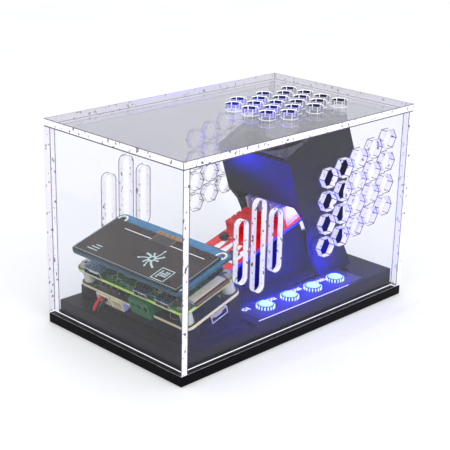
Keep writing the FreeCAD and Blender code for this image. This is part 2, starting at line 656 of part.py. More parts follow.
def make_header():
    pins = Piece("gpio_header", "stack")
    pins.box(("hole_u - pin_pitch", "pin_first - pin_pitch / 2", "main_top"),
             ("2 * pin_pitch", "header_long", "2.5"))
    row = [pins.box((f"hole_u + {side} * pin_pitch / 2 - 0.3", "pin_first - 0.3", "main_top + 2.4"),
                    ("0.6", "0.6", "upper_gap - 3.4")).last for side in (-1, 1)]
    pins.repeat(row, "Y_Axis", "header_long - pin_pitch", HEADER_PINS)
    socket = Piece("display_socket", "stack")
    socket.box(("hole_u - pin_pitch", "pin_first - pin_pitch / 2", "main_top + 2.6"),
               ("2 * pin_pitch", "header_long", "upper_gap - 2.6"))
    row = [socket.box((f"hole_u + {side} * pin_pitch / 2 - 0.4", "pin_first - 0.4", "main_top + 2"),
                      ("0.8", "0.8", "upper_gap - 2.8"), cut=True).last for side in (-1, 1)]
    socket.repeat(row, "Y_Axis", "header_long - pin_pitch", HEADER_PINS)


def make_display():
    board = Piece("display_board", "stack")
    rounded_board(board, "display_low")
    panel = Piece("display_panel", "stack")
    panel.box(("-board_short / 2 + 0.4", "-display_long / 2", "display_top"),
              ("display_short", "display_long", "display_thick"))
    tail = Piece("display_tail", "stack")
    tail.box(("-board_short / 2 + 0.4 + display_short", "-7", "display_top"), ("2.6", "14", "0.3"))
    parts = Piece("display_board_parts", "stack")
    for v in range(4):
        parts.box(("-9", f"-24 + {v} * 3.4", "display_low - 1.6"), ("2.4", "1.8", "1.6"))
    parts.box(("-10", "-6", "display_low - 2.1"), ("4", "14", "2.1"))


# ---------------------------------------------------------------- supply leads
def size(alias):
    return float(sheet.get(alias))


def rounded_path(points):
    """Straight runs joined by tangent arcs, each as large as its two runs allow."""
    edges = []
    start = points[0]
    for before, corner, after in zip(points, points[1:], points[2:]):
        inward = (before - corner).normalize()
        outward = (after - corner).normalize()
        turn = math.pi - inward.getAngle(outward)
        tangent = 0.45 * min(before.distanceToPoint(corner), corner.distanceToPoint(after))
        first = corner + inward * tangent
        last = corner + outward * tangent
        radius = tangent / math.tan(turn / 2)
        middle = (inward + outward).normalize()
        centre = corner + middle * (radius / math.cos(turn / 2))
        edges.append(Part.LineSegment(start, first).toShape())
        edges.append(Part.Arc(first, centre - middle * radius, last).toShape())
        start = last
    edges.append(Part.LineSegment(start, points[-1]).toShape())
    return Part.Wire(edges)


class Lead:
    """A lead held between a connector and a hole in the platform."""

    def __init__(self, node, points, radius):
        self.node = node
        path = rounded_path(points)
        start = points[0]
        circle = Part.Wire(Part.makeCircle(radius, start, points[1] - start))
        self.body = doc.addObject("Part::Feature", node)
        self.body.Label = node
        self.body.Shape = path.makePipeShell([circle], True, True)
        pieces.append(self)
        section = math.pi * radius ** 2
        print(f"{node}: length {path.Length:.1f}, volume over section {self.body.Shape.Volume / section:.1f}")


def make_leads():
    tilt = math.radians(size("board_tilt"))
    half = size("board_short") / 2
    depth = -size("board_thick") - size("connector_tall") / 2
    middle = size("connector_y") + size("connector_wide") / 2
    top = size("base_thick") + size("platform_thick")
    datum = top + size("stack_lift") + half * math.sin(tilt)
    for node, side in (("supply_lead_red", 1), ("supply_lead_black", -1)):
        y = middle + side * size("lead_spread")
        points = []
        for u in (2.0 - half, -half - 1.6):
            x = size("stack_x") + u * math.cos(tilt) - depth * math.sin(tilt)
            z = datum + u * math.sin(tilt) + depth * math.cos(tilt)
            points.append(VECTOR(x, y, z))
        points.append(VECTOR(size("lead_hole_x"), y, top + 0.4))
        points.append(VECTOR(size("lead_hole_x"), y, top - size("lead_hole_depth") + 0.5))
        Lead(node, points, size("lead_radius"))


# ---------------------------------------------------------------- hub
def make_hub():
    low_x = "hub_x - hub_length / 2"
    low_y = "hub_y - hub_width / 2"
    shell = Piece("hub_housing")
    shell.box((low_x, low_y, "hub_low"), ("hub_length", "hub_width", "hub_lid_low - hub_low"))
    shell.box((f"{low_x} + hub_wall", f"{low_y} + hub_wall", "hub_low + hub_wall"),
              ("hub_length - 2 * hub_wall", "hub_width - 2 * hub_wall", "hub_lid_low"), cut=True)
    lid = Piece("hub_lid")
    lid.box((low_x, low_y, "hub_lid_low"), ("hub_length", "hub_width", "deck_top - hub_lid_low"))
    lid.box((f"{low_x} + hub_wall", f"{low_y} + hub_wall", "hub_lid_low - 1"),
            ("hub_length - 2 * hub_wall", "hub_width - 2 * hub_wall", "deck_top - hub_lid_low - 0.2"),
            cut=True)
    board = Piece("hub_board")
    board.box((f"{low_x} + hub_wall + 0.2", f"{low_y} + hub_wall + 0.2", "hub_low + hub_wall"),
              ("hub_length - 2 * hub_wall - 0.4", "hub_width - 2 * hub_wall - 0.4", "1.6"))
    switches = Piece("hub_switches")
    for number in range(BUTTONS):
        x = f"hub_x + ({number} - {(BUTTONS - 1) / 2}) * button_pitch"
        lid.rod((x, "button_y", "hub_lid_low"), "button_radius + button_gap", "deck_top", cut=True)
        switches.box((f"{x} - 2", "button_y - 2", "hub_board_top"), ("4", "4", "0.3"))
        button = Piece(f"power_button_{number + 1}")
        button.rod((x, "button_y", "button_low"), "button_radius + button_flange", "0.7")
        button.rod((x, "button_y", "button_low"), "button_radius", "button_proud + 2.1 - 0.7")
        button.cone((x, "button_y", "button_low + button_proud + 1.4"), "button_radius",
                    "button_radius - 0.7", "0.7")


# ---------------------------------------------------------------- plug-in stick
def make_stick():
    board = Piece("stick_board", "stick")
    board.box(("-stick_low", "-stick_width / 2", "-stick_thick"),
              ("stick_low + stick_high", "stick_width", "stick_thick"))
    plug = Piece("stick_plug", "stick")
    plug.box(("-stick_low - 13", "-6", "-3.1"), ("13", "12", "4.5"))
    plug.box(("-stick_low - 14", "-5.7", "-2.8"), ("12", "11.4", "3.9"), cut=True)
    plug.box(("-stick_low - 12.4", "-5.7", "-2.8"), ("12", "11.4", "1.9"))
    socket = Piece("stick_socket", "stick")
    socket.box(("-stick_low - 16", "-7.2", "-4.4"), ("14.4", "14.4", "7.0"))
    socket.box(("-stick_low - 13.3", "-6.15", "-3.25"), ("13", "12.3", "4.8"), cut=True)
    chips = Piece("stick_chips", "stick")
    for a, v, long, wide, tall in STICK_CHIPS:
        chips.box((a, v, "0"), (long, wide, tall))
    red = Piece("heat_spreader", "stick")
    red.box(("spreader_start", "-stick_width / 2", "0"),
            ("sink_start - spreader_start - 0.3", "stick_width", "spreader_thick"))
    for groove in range(3):
        red.box((f"spreader_start + 3 + {groove} * 3.2", "-stick_width / 2 - 1", "spreader_thick - 0.8"),
                ("0.8", "stick_width + 2", "2"), cut=True)
    sink = Piece("heat_sink", "stick")
    sink.box(("sink_start", "-stick_width / 2 + 1", "0"), ("sink_length", "stick_width - 2", "2"))
    for fin in range(FINS):
        y = f"-stick_width / 2 + 1 + {fin} * (stick_width - 2 - fin_thick) / {FINS - 1}"
        sink.box(("sink_start", y, "1"), ("sink_length", "fin_thick", "sink_height - 1"))


def make_cradle():
    cradle = Piece("stick_cradle")
    step = "deck_start - 0.3"
    far_low = turned("stick", "-stick_low - 15", "-4.4")[0]
    top = turned("stick", "stick_high", "0")[1]
    points = [
        (far_low, "platform_top"), (step, "platform_top"), (step, "deck_top"), ("cradle_foot_x", "deck_top"),
        ("cradle_knee_x", "cradle_knee_height"), ("cradle_top_x", top), (far_low, top),
    ]
    cradle.outline(points, "-cradle_width / 2", "cradle_width")
    cradle.tilted_box("stick", ("-stick_low - 30", "-cradle_width", "-stick_thick"),
                      ("stick_low + stick_high + 60", "2 * cradle_width", "40"), cut=True)
    cradle.tilted_box("stick", ("-stick_low - 30", "-cradle_width", "-4.4"),
                      ("stick_low + 2.4", "2 * cradle_width", "40"), cut=True)


# ---------------------------------------------------------------- fan and hood
def make_hood():
    hood = Piece("fan_hood")
    far_x, far_z = turned("fan", "rim_length", "0")
    face_foot = ("hood_x + face_run", "hood_height - face_drop")
    shoulder = ("hood_x + shoulder_run", "hood_height - shoulder_drop")
    back_foot = ("hood_x + back_run", "hood_height - back_drop")
    side = [
        ("hood_x", "hood_height"), face_foot,
        ("hood_x + face_run + throat_run", "hood_height - face_drop - throat_drop"),
        ("hood_x + waist_run", "hood_height - waist_drop"), ("foot_x - ankle_run", "deck_top + ankle_rise"),
        ("foot_x", "deck_top"), ("foot_x + foot_length + heel_run", "deck_top"),
        ("foot_x + foot_length", "deck_top + heel_rise"), ("hood_x + back_run + 1", "deck_top + calf_rise"),
        back_foot, shoulder, (far_x, far_z),
    ]
    for near in ("-hood_width / 2", "side_inner"):
        hood.outline(side, near, "hood_side")
        hood.box(("foot_x", near, "deck_top - tenon_depth"),
                 ("foot_length", "hood_side", "tenon_depth + 1"))
    face = [
        ("hood_x", "hood_height"), face_foot, ("hood_x + face_run + hood_wall", "hood_height - face_drop"),
        ("hood_x + hood_wall * 1.1", "hood_height + 0.4"),
    ]
    back = [
        (far_x, far_z), shoulder, back_foot,
        ("hood_x + back_run - hood_wall * 1.2", "hood_height - back_drop + 1"),
        ("hood_x + shoulder_run - hood_wall * 1.2", "hood_height - shoulder_drop"),
        (f"{far_x} - hood_wall * 1.1", f"{far_z} - 0.4"),
    ]
    for wall in (face, back):
        hood.outline(wall, "-hood_width / 2", "hood_width")
    pocket = "rim_border - fan_gap"
    below = "-fan_depth - fan_gap"
    for start in (pocket, "rim_border + fan_size + fan_gap - ledge_width"):
        hood.tilted_box("fan", (start, "-side_inner - 1", f"{below} - ledge_thick"),
                        ("ledge_width", "2 * side_inner + 2", "ledge_thick"))
    hood.tilted_box("fan", ("-5", "-hood_width", "0"), ("rim_length + 20", "2 * hood_width", "30"),
                    cut=True)
    hood.tilted_box("fan", (pocket, "-fan_size / 2 - fan_gap", below),
                    ("fan_size + 2 * fan_gap", "fan_size + 2 * fan_gap", "40"), cut=True)
    for u, v in quarter_corners():
        hood.tilted_bore("fan", (f"fan_centre + {u} * fan_hole_pitch / 2", f"{v} * fan_hole_pitch / 2",
                                 f"{below} - ledge_thick - 1"), "fan_screw + 0.2", "ledge_thick + 2")


def make_fan():
    frame = Piece("fan_frame", "fan")
    frame.box(("rim_border", "-fan_size / 2", "-fan_depth"), ("fan_size", "fan_size", "fan_depth"))
    frame.rod(("fan_centre", "0", "-fan_depth + 1.2"), "fan_bore", "fan_depth", cut=True)
    frame.rod(("fan_centre", "0", "-fan_depth - 1"), "fan_bore - 1.2", "4", cut=True)
    frame.rod(("fan_centre", "0", "-fan_depth"), "rotor_hub", "1.2")
    frame.box(("fan_centre - fan_bore", "-1.2", "-fan_depth"), ("2 * fan_bore", "2.4", "1.2"))
    frame.box(("fan_centre - 1.2", "-fan_bore", "-fan_depth"), ("2.4", "2 * fan_bore", "1.2"))
    frame.rod(("fan_centre", "0", "-fan_depth + 1"), "1", "3.5")
    for u, v in quarter_corners():
        spot = (f"fan_centre + {u} * fan_hole_pitch / 2", f"{v} * fan_hole_pitch / 2", "-fan_depth - 1")
        frame.rod(spot, "fan_screw + 0.1", "fan_depth + 2", cut=True)
    screws = Piece("fan_screws", "fan")
    for u, v in quarter_corners():
        spot = (f"fan_centre + {u} * fan_hole_pitch / 2", f"{v} * fan_hole_pitch / 2")
        low = "-fan_depth - fan_gap - ledge_thick"
        screws.rod((*spot, low), "fan_screw", "fan_depth * 0.7 + ledge_thick")
        screws.rod((*spot, f"{low} - fan_screw"), "fan_screw + 0.7", "fan_screw")
    rotor = Piece("fan_rotor", "fan")
    rotor.rod(("fan_centre", "0", "-fan_depth + 1.6"), "rotor_hub", "fan_depth - 2.2")
    rotor.rod(("fan_centre", "0", "-fan_depth + 1"), "1.05", "4", cut=True)
    reach = "rotor_radius - 0.6 - rotor_hub + 1"
    for blade in range(BLADES):
        angle = 360.0 / BLADES * blade
        turn = FreeCAD.Rotation(VECTOR(0, 0, 1), angle)
        pitch = FreeCAD.Rotation(VECTOR(1, 0, 0), BLADE_PITCH)
        start = turn.multVec(VECTOR(1, 0, 0))
        lift = (turn.multiply(pitch)).multVec(VECTOR(0, -4, -0.45))
        x = f"fan_centre + {start.x:.6f} * (rotor_hub - 1) + {lift.x:.6f}"
        y = f"{start.y:.6f} * (rotor_hub - 1) + {lift.y:.6f}"
        rotor.box((x, y, f"-fan_depth / 2 + 0.3 + {lift.z:.6f}"), (reach, "8", "0.9"),
                  rotation=turn.multiply(pitch))
    return rotor


make_base_plate()
make_platform()
make_platform_screws()
make_cover()
make_power_inlet()
make_stand()
make_power_board()
make_spacers()
make_main_board()
make_header()
make_display()
make_leads()
make_hub()
make_stick()
make_cradle()
make_hood()
make_fan()
doc.recompute()

# ---------------------------------------------------------------- checks and export
for item in doc.Objects:
    bad = [word for word in item.State if word in ("Invalid", "Error")]
    if bad:
        raise RuntimeError(f"{item.Name} did not build: {item.State}")
for piece in pieces:
    shape = piece.body.Shape
    if shape.isNull() or not shape.isValid() or not shape.Solids:
        raise RuntimeError(f"{piece.node} has no valid solid")

os.makedirs("parts", exist_ok=True)
for piece in pieces:
    piece.body.Shape.exportStep(f"parts/{piece.node}.step")
    box = piece.body.Shape.BoundBox
    print(f"{piece.node:22s} solids {len(piece.body.Shape.Solids):3d}",
          f"volume {piece.body.Shape.Volume:9.1f} x {box.XMin:7.2f} {box.XMax:7.2f}",
          f"y {box.YMin:7.2f} {box.YMax:7.2f} z {box.ZMin:7.2f} {box.ZMax:7.2f}")
print(len(pieces), "nodes")
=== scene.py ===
import math
import random

import bmesh
import bpy
from mathutils import Matrix, Vector


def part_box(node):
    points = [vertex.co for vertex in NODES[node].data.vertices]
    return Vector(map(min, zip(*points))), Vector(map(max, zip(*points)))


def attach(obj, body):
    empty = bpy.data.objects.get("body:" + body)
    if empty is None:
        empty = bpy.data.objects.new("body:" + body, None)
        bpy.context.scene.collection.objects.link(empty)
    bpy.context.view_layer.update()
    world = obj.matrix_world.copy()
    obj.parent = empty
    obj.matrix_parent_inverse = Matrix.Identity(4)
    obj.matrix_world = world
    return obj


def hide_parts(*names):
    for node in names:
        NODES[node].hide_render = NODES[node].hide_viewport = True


# The looks of a cased single board computer: clear cover, board stack with a display,
# four lit buttons, a plug-in stick board and a fan hood.  Lengths in the piece builders are
# millimetres and are turned into metres once, when a piece is finished.
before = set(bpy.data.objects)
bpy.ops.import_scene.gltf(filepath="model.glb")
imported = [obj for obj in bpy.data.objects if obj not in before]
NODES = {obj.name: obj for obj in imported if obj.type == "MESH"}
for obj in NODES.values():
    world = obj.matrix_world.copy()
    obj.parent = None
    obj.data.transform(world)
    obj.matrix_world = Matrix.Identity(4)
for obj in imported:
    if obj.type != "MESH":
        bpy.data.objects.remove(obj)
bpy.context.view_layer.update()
MM = 0.001

# What the boards share, in millimetres.
BOARD_THICK = 1.5
BOARD_CORNER = 3.0
HOLE_INSET = 3.5        # a mounting hole's distance from both edges
HOLE_EDGE = 1.42        # just outside a mounting hole
HOLE_KEEP = 3.0         # half the square kept clear round a mounting hole

# How far printed and plated marks stand off what they are on, in millimetres.
INK = 0.03
SILK = 0.04
PLATING = 0.05

# The sockets of a node that mixes two colours.
MIX_SHARE, MIX_FIRST, MIX_SECOND, MIX_RESULT = 0, 6, 7, 2


# ---------------------------------------------------------------- where things are
def low(node):
    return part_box(node)[0] / MM


def high(node):
    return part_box(node)[1] / MM


def middle(node):
    return (low(node) + high(node)) / 2


def surface(node):
    """The frame on a node's largest upward face: x up the slope, y across the case, z out
    of the face, with its origin over the node's middle, in millimetres."""
    areas = {}
    for polygon in NODES[node].data.polygons:
        if polygon.normal.z > 0.2:
            key = tuple(round(c, 2) for c in polygon.normal)
            areas[key] = areas.get(key, 0) + polygon.area
    normal = Vector(max(areas, key=areas.get)).normalized()
    top = max(normal.dot(v.co) for v in NODES[node].data.vertices) / MM
    centre = middle(node)
    origin = centre + normal * (top - normal.dot(centre))
    along = Vector((0, 1, 0)).cross(normal)
    place = Matrix((along, (0, 1, 0), normal)).transposed().to_4x4()
    return Matrix.Translation(origin) @ place


def level(x, y, z):
    return Matrix.Translation((x, y, z))


# ---------------------------------------------------------------- materials
class Look:
    """A node material, built up from patterns on the piece's own coordinates."""

    def __init__(self, name, colour, rough, metal=0.0, **sockets):
        self.material = bpy.data.materials.new(name)
        self.material.use_nodes = True
        self.nodes = self.material.node_tree.nodes
        self.links = self.material.node_tree.links
        self.shader = self.nodes["Principled BSDF"]
        self.place = self.nodes.new("ShaderNodeTexCoord").outputs["Object"]
        self.colour = colour
        self.set("Base Color", (*colour, 1))
        self.set("Roughness", rough)
        self.set("Metallic", metal)
        for socket, value in sockets.items():
            self.set(socket.replace("_", " "), value)

    def set(self, socket, value):
        self.shader.inputs[socket].default_value = value

    def node(self, kind, inputs=(), **settings):
        made = self.nodes.new(kind)
        for key, value in settings.items():
            setattr(made, key, value)
        for socket, value in dict(inputs).items():
            if hasattr(value, "links"):
                self.links.new(value, made.inputs[socket])
            else:
                made.inputs[socket].default_value = value
        return made

    def noise(self, grain, detail=3.0, stretch=(1, 1, 1)):
        """Noise with features about grain millimetres across."""
        spread = self.node("ShaderNodeMapping", {"Vector": self.place, "Scale": stretch})
        made = self.node("ShaderNodeTexNoise", {
            "Vector": spread.outputs[0], "Scale": 1 / (grain * MM), "Detail": detail})
        return made.outputs["Fac"]

    def bands(self, pitch, axis="Z", wobble=0.0):
        """Even bands, pitch millimetres apart."""
        waves_in_unit = 20 / (2 * math.pi)
        made = self.node("ShaderNodeTexWave", {
            "Vector": self.place, "Scale": 1 / waves_in_unit / (pitch * MM),
            "Distortion": wobble}, wave_type="BANDS", bands_direction=axis)
        return made.outputs["Fac"]

    def cells(self, size):
        """Patches about size millimetres across."""
        made = self.node("ShaderNodeTexVoronoi", {
            "Vector": self.place, "Scale": 1 / (size * MM)}, feature="F1")
        return made.outputs["Distance"]

    def mixed(self, share, first, second):
        """A colour that goes from first to second as share goes from 0 to 1."""
        made = self.node("ShaderNodeMix", {
            MIX_SHARE: share, MIX_FIRST: first, MIX_SECOND: second}, data_type="RGBA")
        return made.outputs[MIX_RESULT]

    def ranged(self, value, start, end, first, last):
        made = self.node("ShaderNodeMapRange", {
            "Value": value, "From Min": start, "From Max": end, "To Min": first, "To Max": last})
        return made.outputs["Result"]

    def tint(self, value, other, start=0.3, end=0.7, base=None):
        """The colour goes from its own to other as value goes from start to end."""
        share = self.ranged(value, start, end, 0.0, 1.0)
        first = base if base is not None else (*self.colour, 1)
        colour = self.mixed(share, first, (*other, 1))
        self.links.new(colour, self.shader.inputs["Base Color"])
        return colour

    def rough(self, value, first, last):
        """The roughness goes from first to last over the middle of value's range."""
        self.links.new(self.ranged(value, 0.3, 0.7, first, last), self.shader.inputs["Roughness"])
        return self

    def bump(self, *heights):
        """Each height is (pattern, millimetres)."""
        normal = None
        for pattern, depth in heights:
            made = self.node("ShaderNodeBump", {
                "Height": pattern, "Distance": depth * MM, "Strength": 1.0})
            if normal is not None:
                self.links.new(normal, made.inputs["Normal"])
            normal = made.outputs[0]
        self.links.new(normal, self.shader.inputs["Normal"])
        return self


def gloss_black():
    look = Look("base_gloss", (0.002, 0.0016, 0.003), 0.2, Specular_IOR_Level=0.05)
    smear = look.noise(14, 2)
    look.tint(smear, (0.0035, 0.003, 0.005))
    return look.rough(smear, 0.1, 0.22).bump((look.noise(0.5), 0.001)).material


def printed_black():
    look = Look("printed_black", (0.0055, 0.005, 0.0095), 0.5, Specular_IOR_Level=0.1)
    patch = look.noise(6, 4)
    look.tint(patch, (0.009, 0.0085, 0.015))
    look.rough(patch, 0.42, 0.56)
    return look.bump((look.bands(0.3, wobble=0.15), 0.001), (look.noise(0.8), 0.001)).material


def moulded(name, colour, rough=0.4, other=None, grain=0.2, depth=0.006, **sockets):
    """Moulded plastic, with a grain of fine bumps."""
    look = Look(name, colour, rough, **sockets)
    patch = look.noise(2.5, 3)
    look.tint(patch, other or tuple(c * 1.25 + 0.002 for c in colour))
    look.rough(patch, rough * 0.8, rough * 1.2)
    return look.bump((look.noise(grain), depth)).material


def metal(name, colour, rough):
    """Brushed metal."""
    look = Look(name, colour, rough, metal=1.0)
    streak = look.noise(0.8, 4, stretch=(1, 1, 6))
    look.tint(streak, tuple(c * 0.72 for c in colour))
    look.rough(streak, rough * 0.7, rough * 1.5)
    return look.bump((streak, 0.004)).material


def mask(name, colour, trace):
    """Solder mask: copper under lacquer, seen as lighter tracks with darker gaps."""
    rough = 0.28
    look = Look(name, colour, rough, Coat_Weight=0.35, Coat_Roughness=0.12)
    pour = look.cells(3.1)
    tracks = look.bands(0.9, "DIAGONAL", wobble=1.2)
    first = look.tint(pour, tuple(c * 0.72 for c in colour), 0.35, 0.6)
    look.tint(tracks, trace, 0.78, 0.9, base=first)
    weave = look.noise(0.3)
    look.rough(weave, rough * 0.8, rough * 1.3)
    return look.bump((tracks, 0.012), (weave, 0.004)).material


def glow(name, colour, strength, core, other):
    """Lit translucent plastic, whose light goes from core to other in soft spots."""
    look = Look(name, colour, 0.25, Coat_Weight=0.4, Emission_Strength=strength)
    look.set("Emission Color", (*core, 1))
    spots = look.noise(0.9, 2)
    share = look.ranged(spots, 0.35, 0.65, 0.0, 1.0)
    light = look.mixed(share, (*core, 1), (*other, 1))
    look.links.new(light, look.shader.inputs["Emission Color"])
    return look.bump((spots, 0.02)).material


def clear_sheet(name, mirror, power, tint):
    """Clear acrylic seen through its faces: straight through, with a mirror share and a
    grey that both rise towards a grazing view."""
    look = Look(name, (0.95, 0.97, 1.0), 0.03)
    facing = look.node("ShaderNodeLayerWeight", {"Blend": 0.5}).outputs["Facing"]
    lift = look.node("ShaderNodeMath", {0: facing, 1: power}, operation="POWER").outputs[0]
    straight_on = 0.022
    share = look.node("ShaderNodeMath", {0: lift, 1: mirror, 2: straight_on},
                      operation="MULTIPLY_ADD", use_clamp=True).outputs[0]
    haze = look.noise(30, 2)
    rough = look.ranged(haze, 0.3, 0.7, 0.0, 0.05)
    shade = look.mixed(facing, (0.985, 0.99, 1.0, 1), tint)
    mirrored = look.node("ShaderNodeBsdfGlossy", {"Color": (1, 1, 1, 1), "Roughness": rough})
    through = look.node("ShaderNodeBsdfTransparent", {"Color": shade})
    mix = look.node("ShaderNodeMixShader", {0: share, 1: through.outputs[0], 2: mirrored.outputs[0]})
    look.nodes.remove(look.shader)
    look.links.new(mix.outputs[0], look.nodes["Material Output"].inputs["Surface"])
    return look.material


def lit_edge(name, colour, strength, rough=0.2, behind=0.0, dashes=True):
    """A cut acrylic edge, with a painted glow for the light that the sheet gathers, dark dashes of
    painted reflection where it mirrors the room, and behind as the share that shows from inside
    the sheet."""
    look = Look(name, colour, rough, Emission_Strength=strength)
    streak = look.noise(2.2, 3, stretch=(1, 1, 0.35))
    if dashes:
        # Dark dashes in the edge's glow and colour: a painted reflection of the room.
        painted_reflection_dashes = look.noise(1.5, 4, stretch=(1, 1, 0.8))
        start, end = 0.60, 0.66
        share = look.ranged(painted_reflection_dashes, start, end, 0.0, 1.0)
        shown = look.mixed(share, (0.95, 0.93, 1.0, 1), (0.05, 0.04, 0.08, 1))
        look.links.new(shown, look.shader.inputs["Emission Color"])
        look.tint(painted_reflection_dashes, tuple(c * 0.12 for c in colour), start, end)
    else:
        look.set("Emission Color", (0.95, 0.97, 1.0, 1))
        look.tint(streak, tuple(c * 0.8 for c in colour), 0.45, 0.7)
    look.rough(streak, rough * 0.6, rough * 1.6).bump((streak, 0.02))
    turned = look.node("ShaderNodeNewGeometry").outputs["Backfacing"]
    hidden = look.node("ShaderNodeMath", {0: turned, 1: 1.0 - behind},
                       operation="MULTIPLY").outputs[0]
    through = look.node("ShaderNodeBsdfTransparent", {"Color": (0.93, 0.93, 0.97, 1)})
    mix = look.node("ShaderNodeMixShader", {
        0: hidden, 1: look.shader.outputs[0], 2: through.outputs[0]})
    look.links.new(mix.outputs[0], look.nodes["Material Output"].inputs["Surface"])
    return look.material


def sink_aluminium():
    """Satin aluminium, tinted violet: a painted reflection of the blue light and the red board round it.
    """
    look = Look("sink_aluminium", (0.72, 0.66, 0.8), 0.5, metal=0.35)
    streak = look.noise(0.8, 4, stretch=(6, 1, 1))
    look.tint(streak, (0.55, 0.5, 0.66))
    return look.rough(streak, 0.42, 0.6).bump((streak, 0.004)).material


def fan_black():
    look = Look("fan_plastic", (0.011, 0.011, 0.015), 0.3)
    patch = look.noise(3)
    look.tint(patch, (0.018, 0.018, 0.022))
    return look.rough(patch, 0.22, 0.36).bump((look.noise(0.3), 0.002)).material


def vivid_red(name, rough, lit, brushed=(1, 1, 1)):
    # The red emission is a painted glow: these parts are no lamp.
    look = Look(name, (0.85, 0.001, 0.002), rough, Emission_Strength=lit)
    look.set("Emission Color", (1.0, 0.0, 0.002, 1))
    streak = look.noise(0.7, 4, stretch=brushed)
    look.tint(streak, (0.66, 0.001, 0.002))
    return look.rough(streak, rough * 0.75, rough * 1.3).bump((streak, 0.004)).material


def display_glass():
    look = Look("display_glass", (0.02, 0.014, 0.011), 0.3, Specular_IOR_Level=0.25)
    sheen = look.noise(11, 2, stretch=(1, 0.5, 1))
    look.tint(sheen, (0.048, 0.034, 0.028))
    return look.rough(sheen, 0.25, 0.35).bump((sheen, 0.002)).material


def pale_floor():
    look = Look("studio_floor", (0.93, 0.93, 0.94), 0.6)
    paper = look.noise(60, 2)
    look.tint(paper, (0.95, 0.95, 0.955))
    return look.rough(paper, 0.55, 0.7).material


LOOKS = {
    "base_gloss": gloss_black(),
    "printed_black": printed_black(),
    "clear_acrylic": clear_sheet("clear_acrylic", 0.75, 5.0, (0.985, 0.985, 1.0, 1)),
    "clear_lid": clear_sheet("clear_lid", 0.95, 4.0, (0.62, 0.60, 0.64, 1)),
    # Painted glow on the cut edges, with dark dashes of painted reflection.
    "acrylic_edge": lit_edge("acrylic_edge", (0.74, 0.72, 0.78), 0.34, behind=0.85),
    # Painted shade: the chamfers of the clear panels are drawn as dark lines.
    "acrylic_line": lit_edge("acrylic_line", (0.10, 0.09, 0.15), 0.02, 0.12, behind=1.0, dashes=False),
    # Painted shade: the walls of the lid's holes are made dark.
    "lid_wall": lit_edge("lid_wall", (0.02, 0.02, 0.025), 0.0, 0.3, behind=0.1, dashes=False),
    # Pale with a painted glow: painted highlights on the lid's hole chamfers, the panels' feet and the     deck's edge, and the pale print of the button marks.
    "bright_line": lit_edge("bright_line", (0.85, 0.85, 0.9), 0.6, behind=1.0, dashes=False),
    "screw_steel": metal("screw_steel", (0.55, 0.55, 0.57), 0.28),
    "socket_black": moulded("socket_black", (0.012, 0.012, 0.014), 0.42),
    "board_black": mask("board_black", (0.012, 0.02, 0.018), (0.03, 0.05, 0.045)),
    "board_green": mask("board_green", (0.01, 0.16, 0.045), (0.03, 0.34, 0.09)),
    "board_blue": mask("board_blue", (0.008, 0.16, 0.34), (0.02, 0.27, 0.5)),
    # Painted red glow on the stick board.
    "board_red": vivid_red("board_red", 0.3, 0.10),
    "board_lime": moulded("board_lime", (0.42, 0.62, 0.08), 0.45, other=(0.7, 0.8, 0.25)),
    "board_edge": moulded("board_edge", (0.72, 0.62, 0.36), 0.5, other=(0.82, 0.75, 0.52)),
    "chip_black": moulded("chip_black", (0.016, 0.016, 0.018), 0.5, grain=0.1, depth=0.01),
    "chip_tan": moulded("chip_tan", (0.52, 0.4, 0.24), 0.45),
    "port_steel": metal("port_steel", (0.72, 0.73, 0.75), 0.22),
    "connector_cream": moulded("connector_cream", (0.8, 0.72, 0.5), 0.42,
                               other=(0.9, 0.84, 0.66)),
    "terminal_green": moulded("terminal_green", (0.005, 0.11, 0.035), 0.4, depth=0.002),
    "spacer_nylon": moulded("spacer_nylon", (0.5, 0.53, 0.48), 0.4, other=(0.62, 0.64, 0.58)),
    "latch_brown": moulded("latch_brown", (0.1, 0.04, 0.02), 0.4),
    "display_glass": display_glass(),
    "display_rim": moulded("display_rim", (0.004, 0.02, 0.035), 0.4, other=(0.02, 0.09, 0.12),
                           depth=0.001),
    "flex_amber": moulded("flex_amber", (0.3, 0.13, 0.03), 0.3, other=(0.42, 0.2, 0.05)),
    "lead_red": moulded("lead_red", (0.7, 0.01, 0.02), 0.35),
    "lead_black": moulded("lead_black", (0.01, 0.01, 0.012), 0.35),
    "hub_black": moulded("hub_black", (0.009, 0.009, 0.014), 0.42, depth=0.002),
    "button_glow": glow("button_glow", (0.3, 0.55, 0.75), 0.5,
                        (0.3, 0.75, 1.0), (0.75, 0.95, 1.0)),
    "button_skirt": glow("button_skirt", (0.01, 0.03, 0.6), 0.45,
                         (0.004, 0.02, 1.0), (0.02, 0.1, 1.0)),
    # Painted glint: the teeth glow paler and brighter than the skirt.
    "button_tooth": glow("button_tooth", (0.6, 0.75, 1.0), 0.95,
                         (0.5, 0.75, 1.0), (0.8, 0.92, 1.0)),
    # Painted red glow on the anodised parts.
    "anodised_red": vivid_red("anodised_red", 0.34, 0.05, (5, 1, 1)),
    # Violet tint: a painted reflection of the blue light and the red board.
    "sink_aluminium": sink_aluminium(),
    "fan_plastic": fan_black(),
    "hub_label": moulded("hub_label", (0.3, 0.31, 0.17), 0.45, other=(0.36, 0.37, 0.22),
                         depth=0.001),
    # A lighter grey for the fan frame's face: a painted sheen.
    "fan_face": moulded("fan_face", (0.035, 0.035, 0.042), 0.3, other=(0.05, 0.05, 0.058),
                        depth=0.001),
    "gold": metal("gold", (0.9, 0.68, 0.3), 0.22),
    "solder": metal("solder", (0.8, 0.8, 0.82), 0.18),
    # White print with a faint painted glow.
    "silk": moulded("silk", (0.9, 0.88, 0.87), 0.5, other=(0.95, 0.93, 0.92), grain=0.12,
                    depth=0.001, Emission_Strength=0.12, Emission_Color=(1.0, 0.95, 0.95, 1)),
    "ink": moulded("ink", (0.5, 0.68, 0.66), 0.4, other=(0.66, 0.8, 0.78), grain=0.12),
    "part_tan": moulded("part_tan", (0.45, 0.3, 0.16), 0.4),
    "part_dark": moulded("part_dark", (0.03, 0.028, 0.03), 0.4),
}


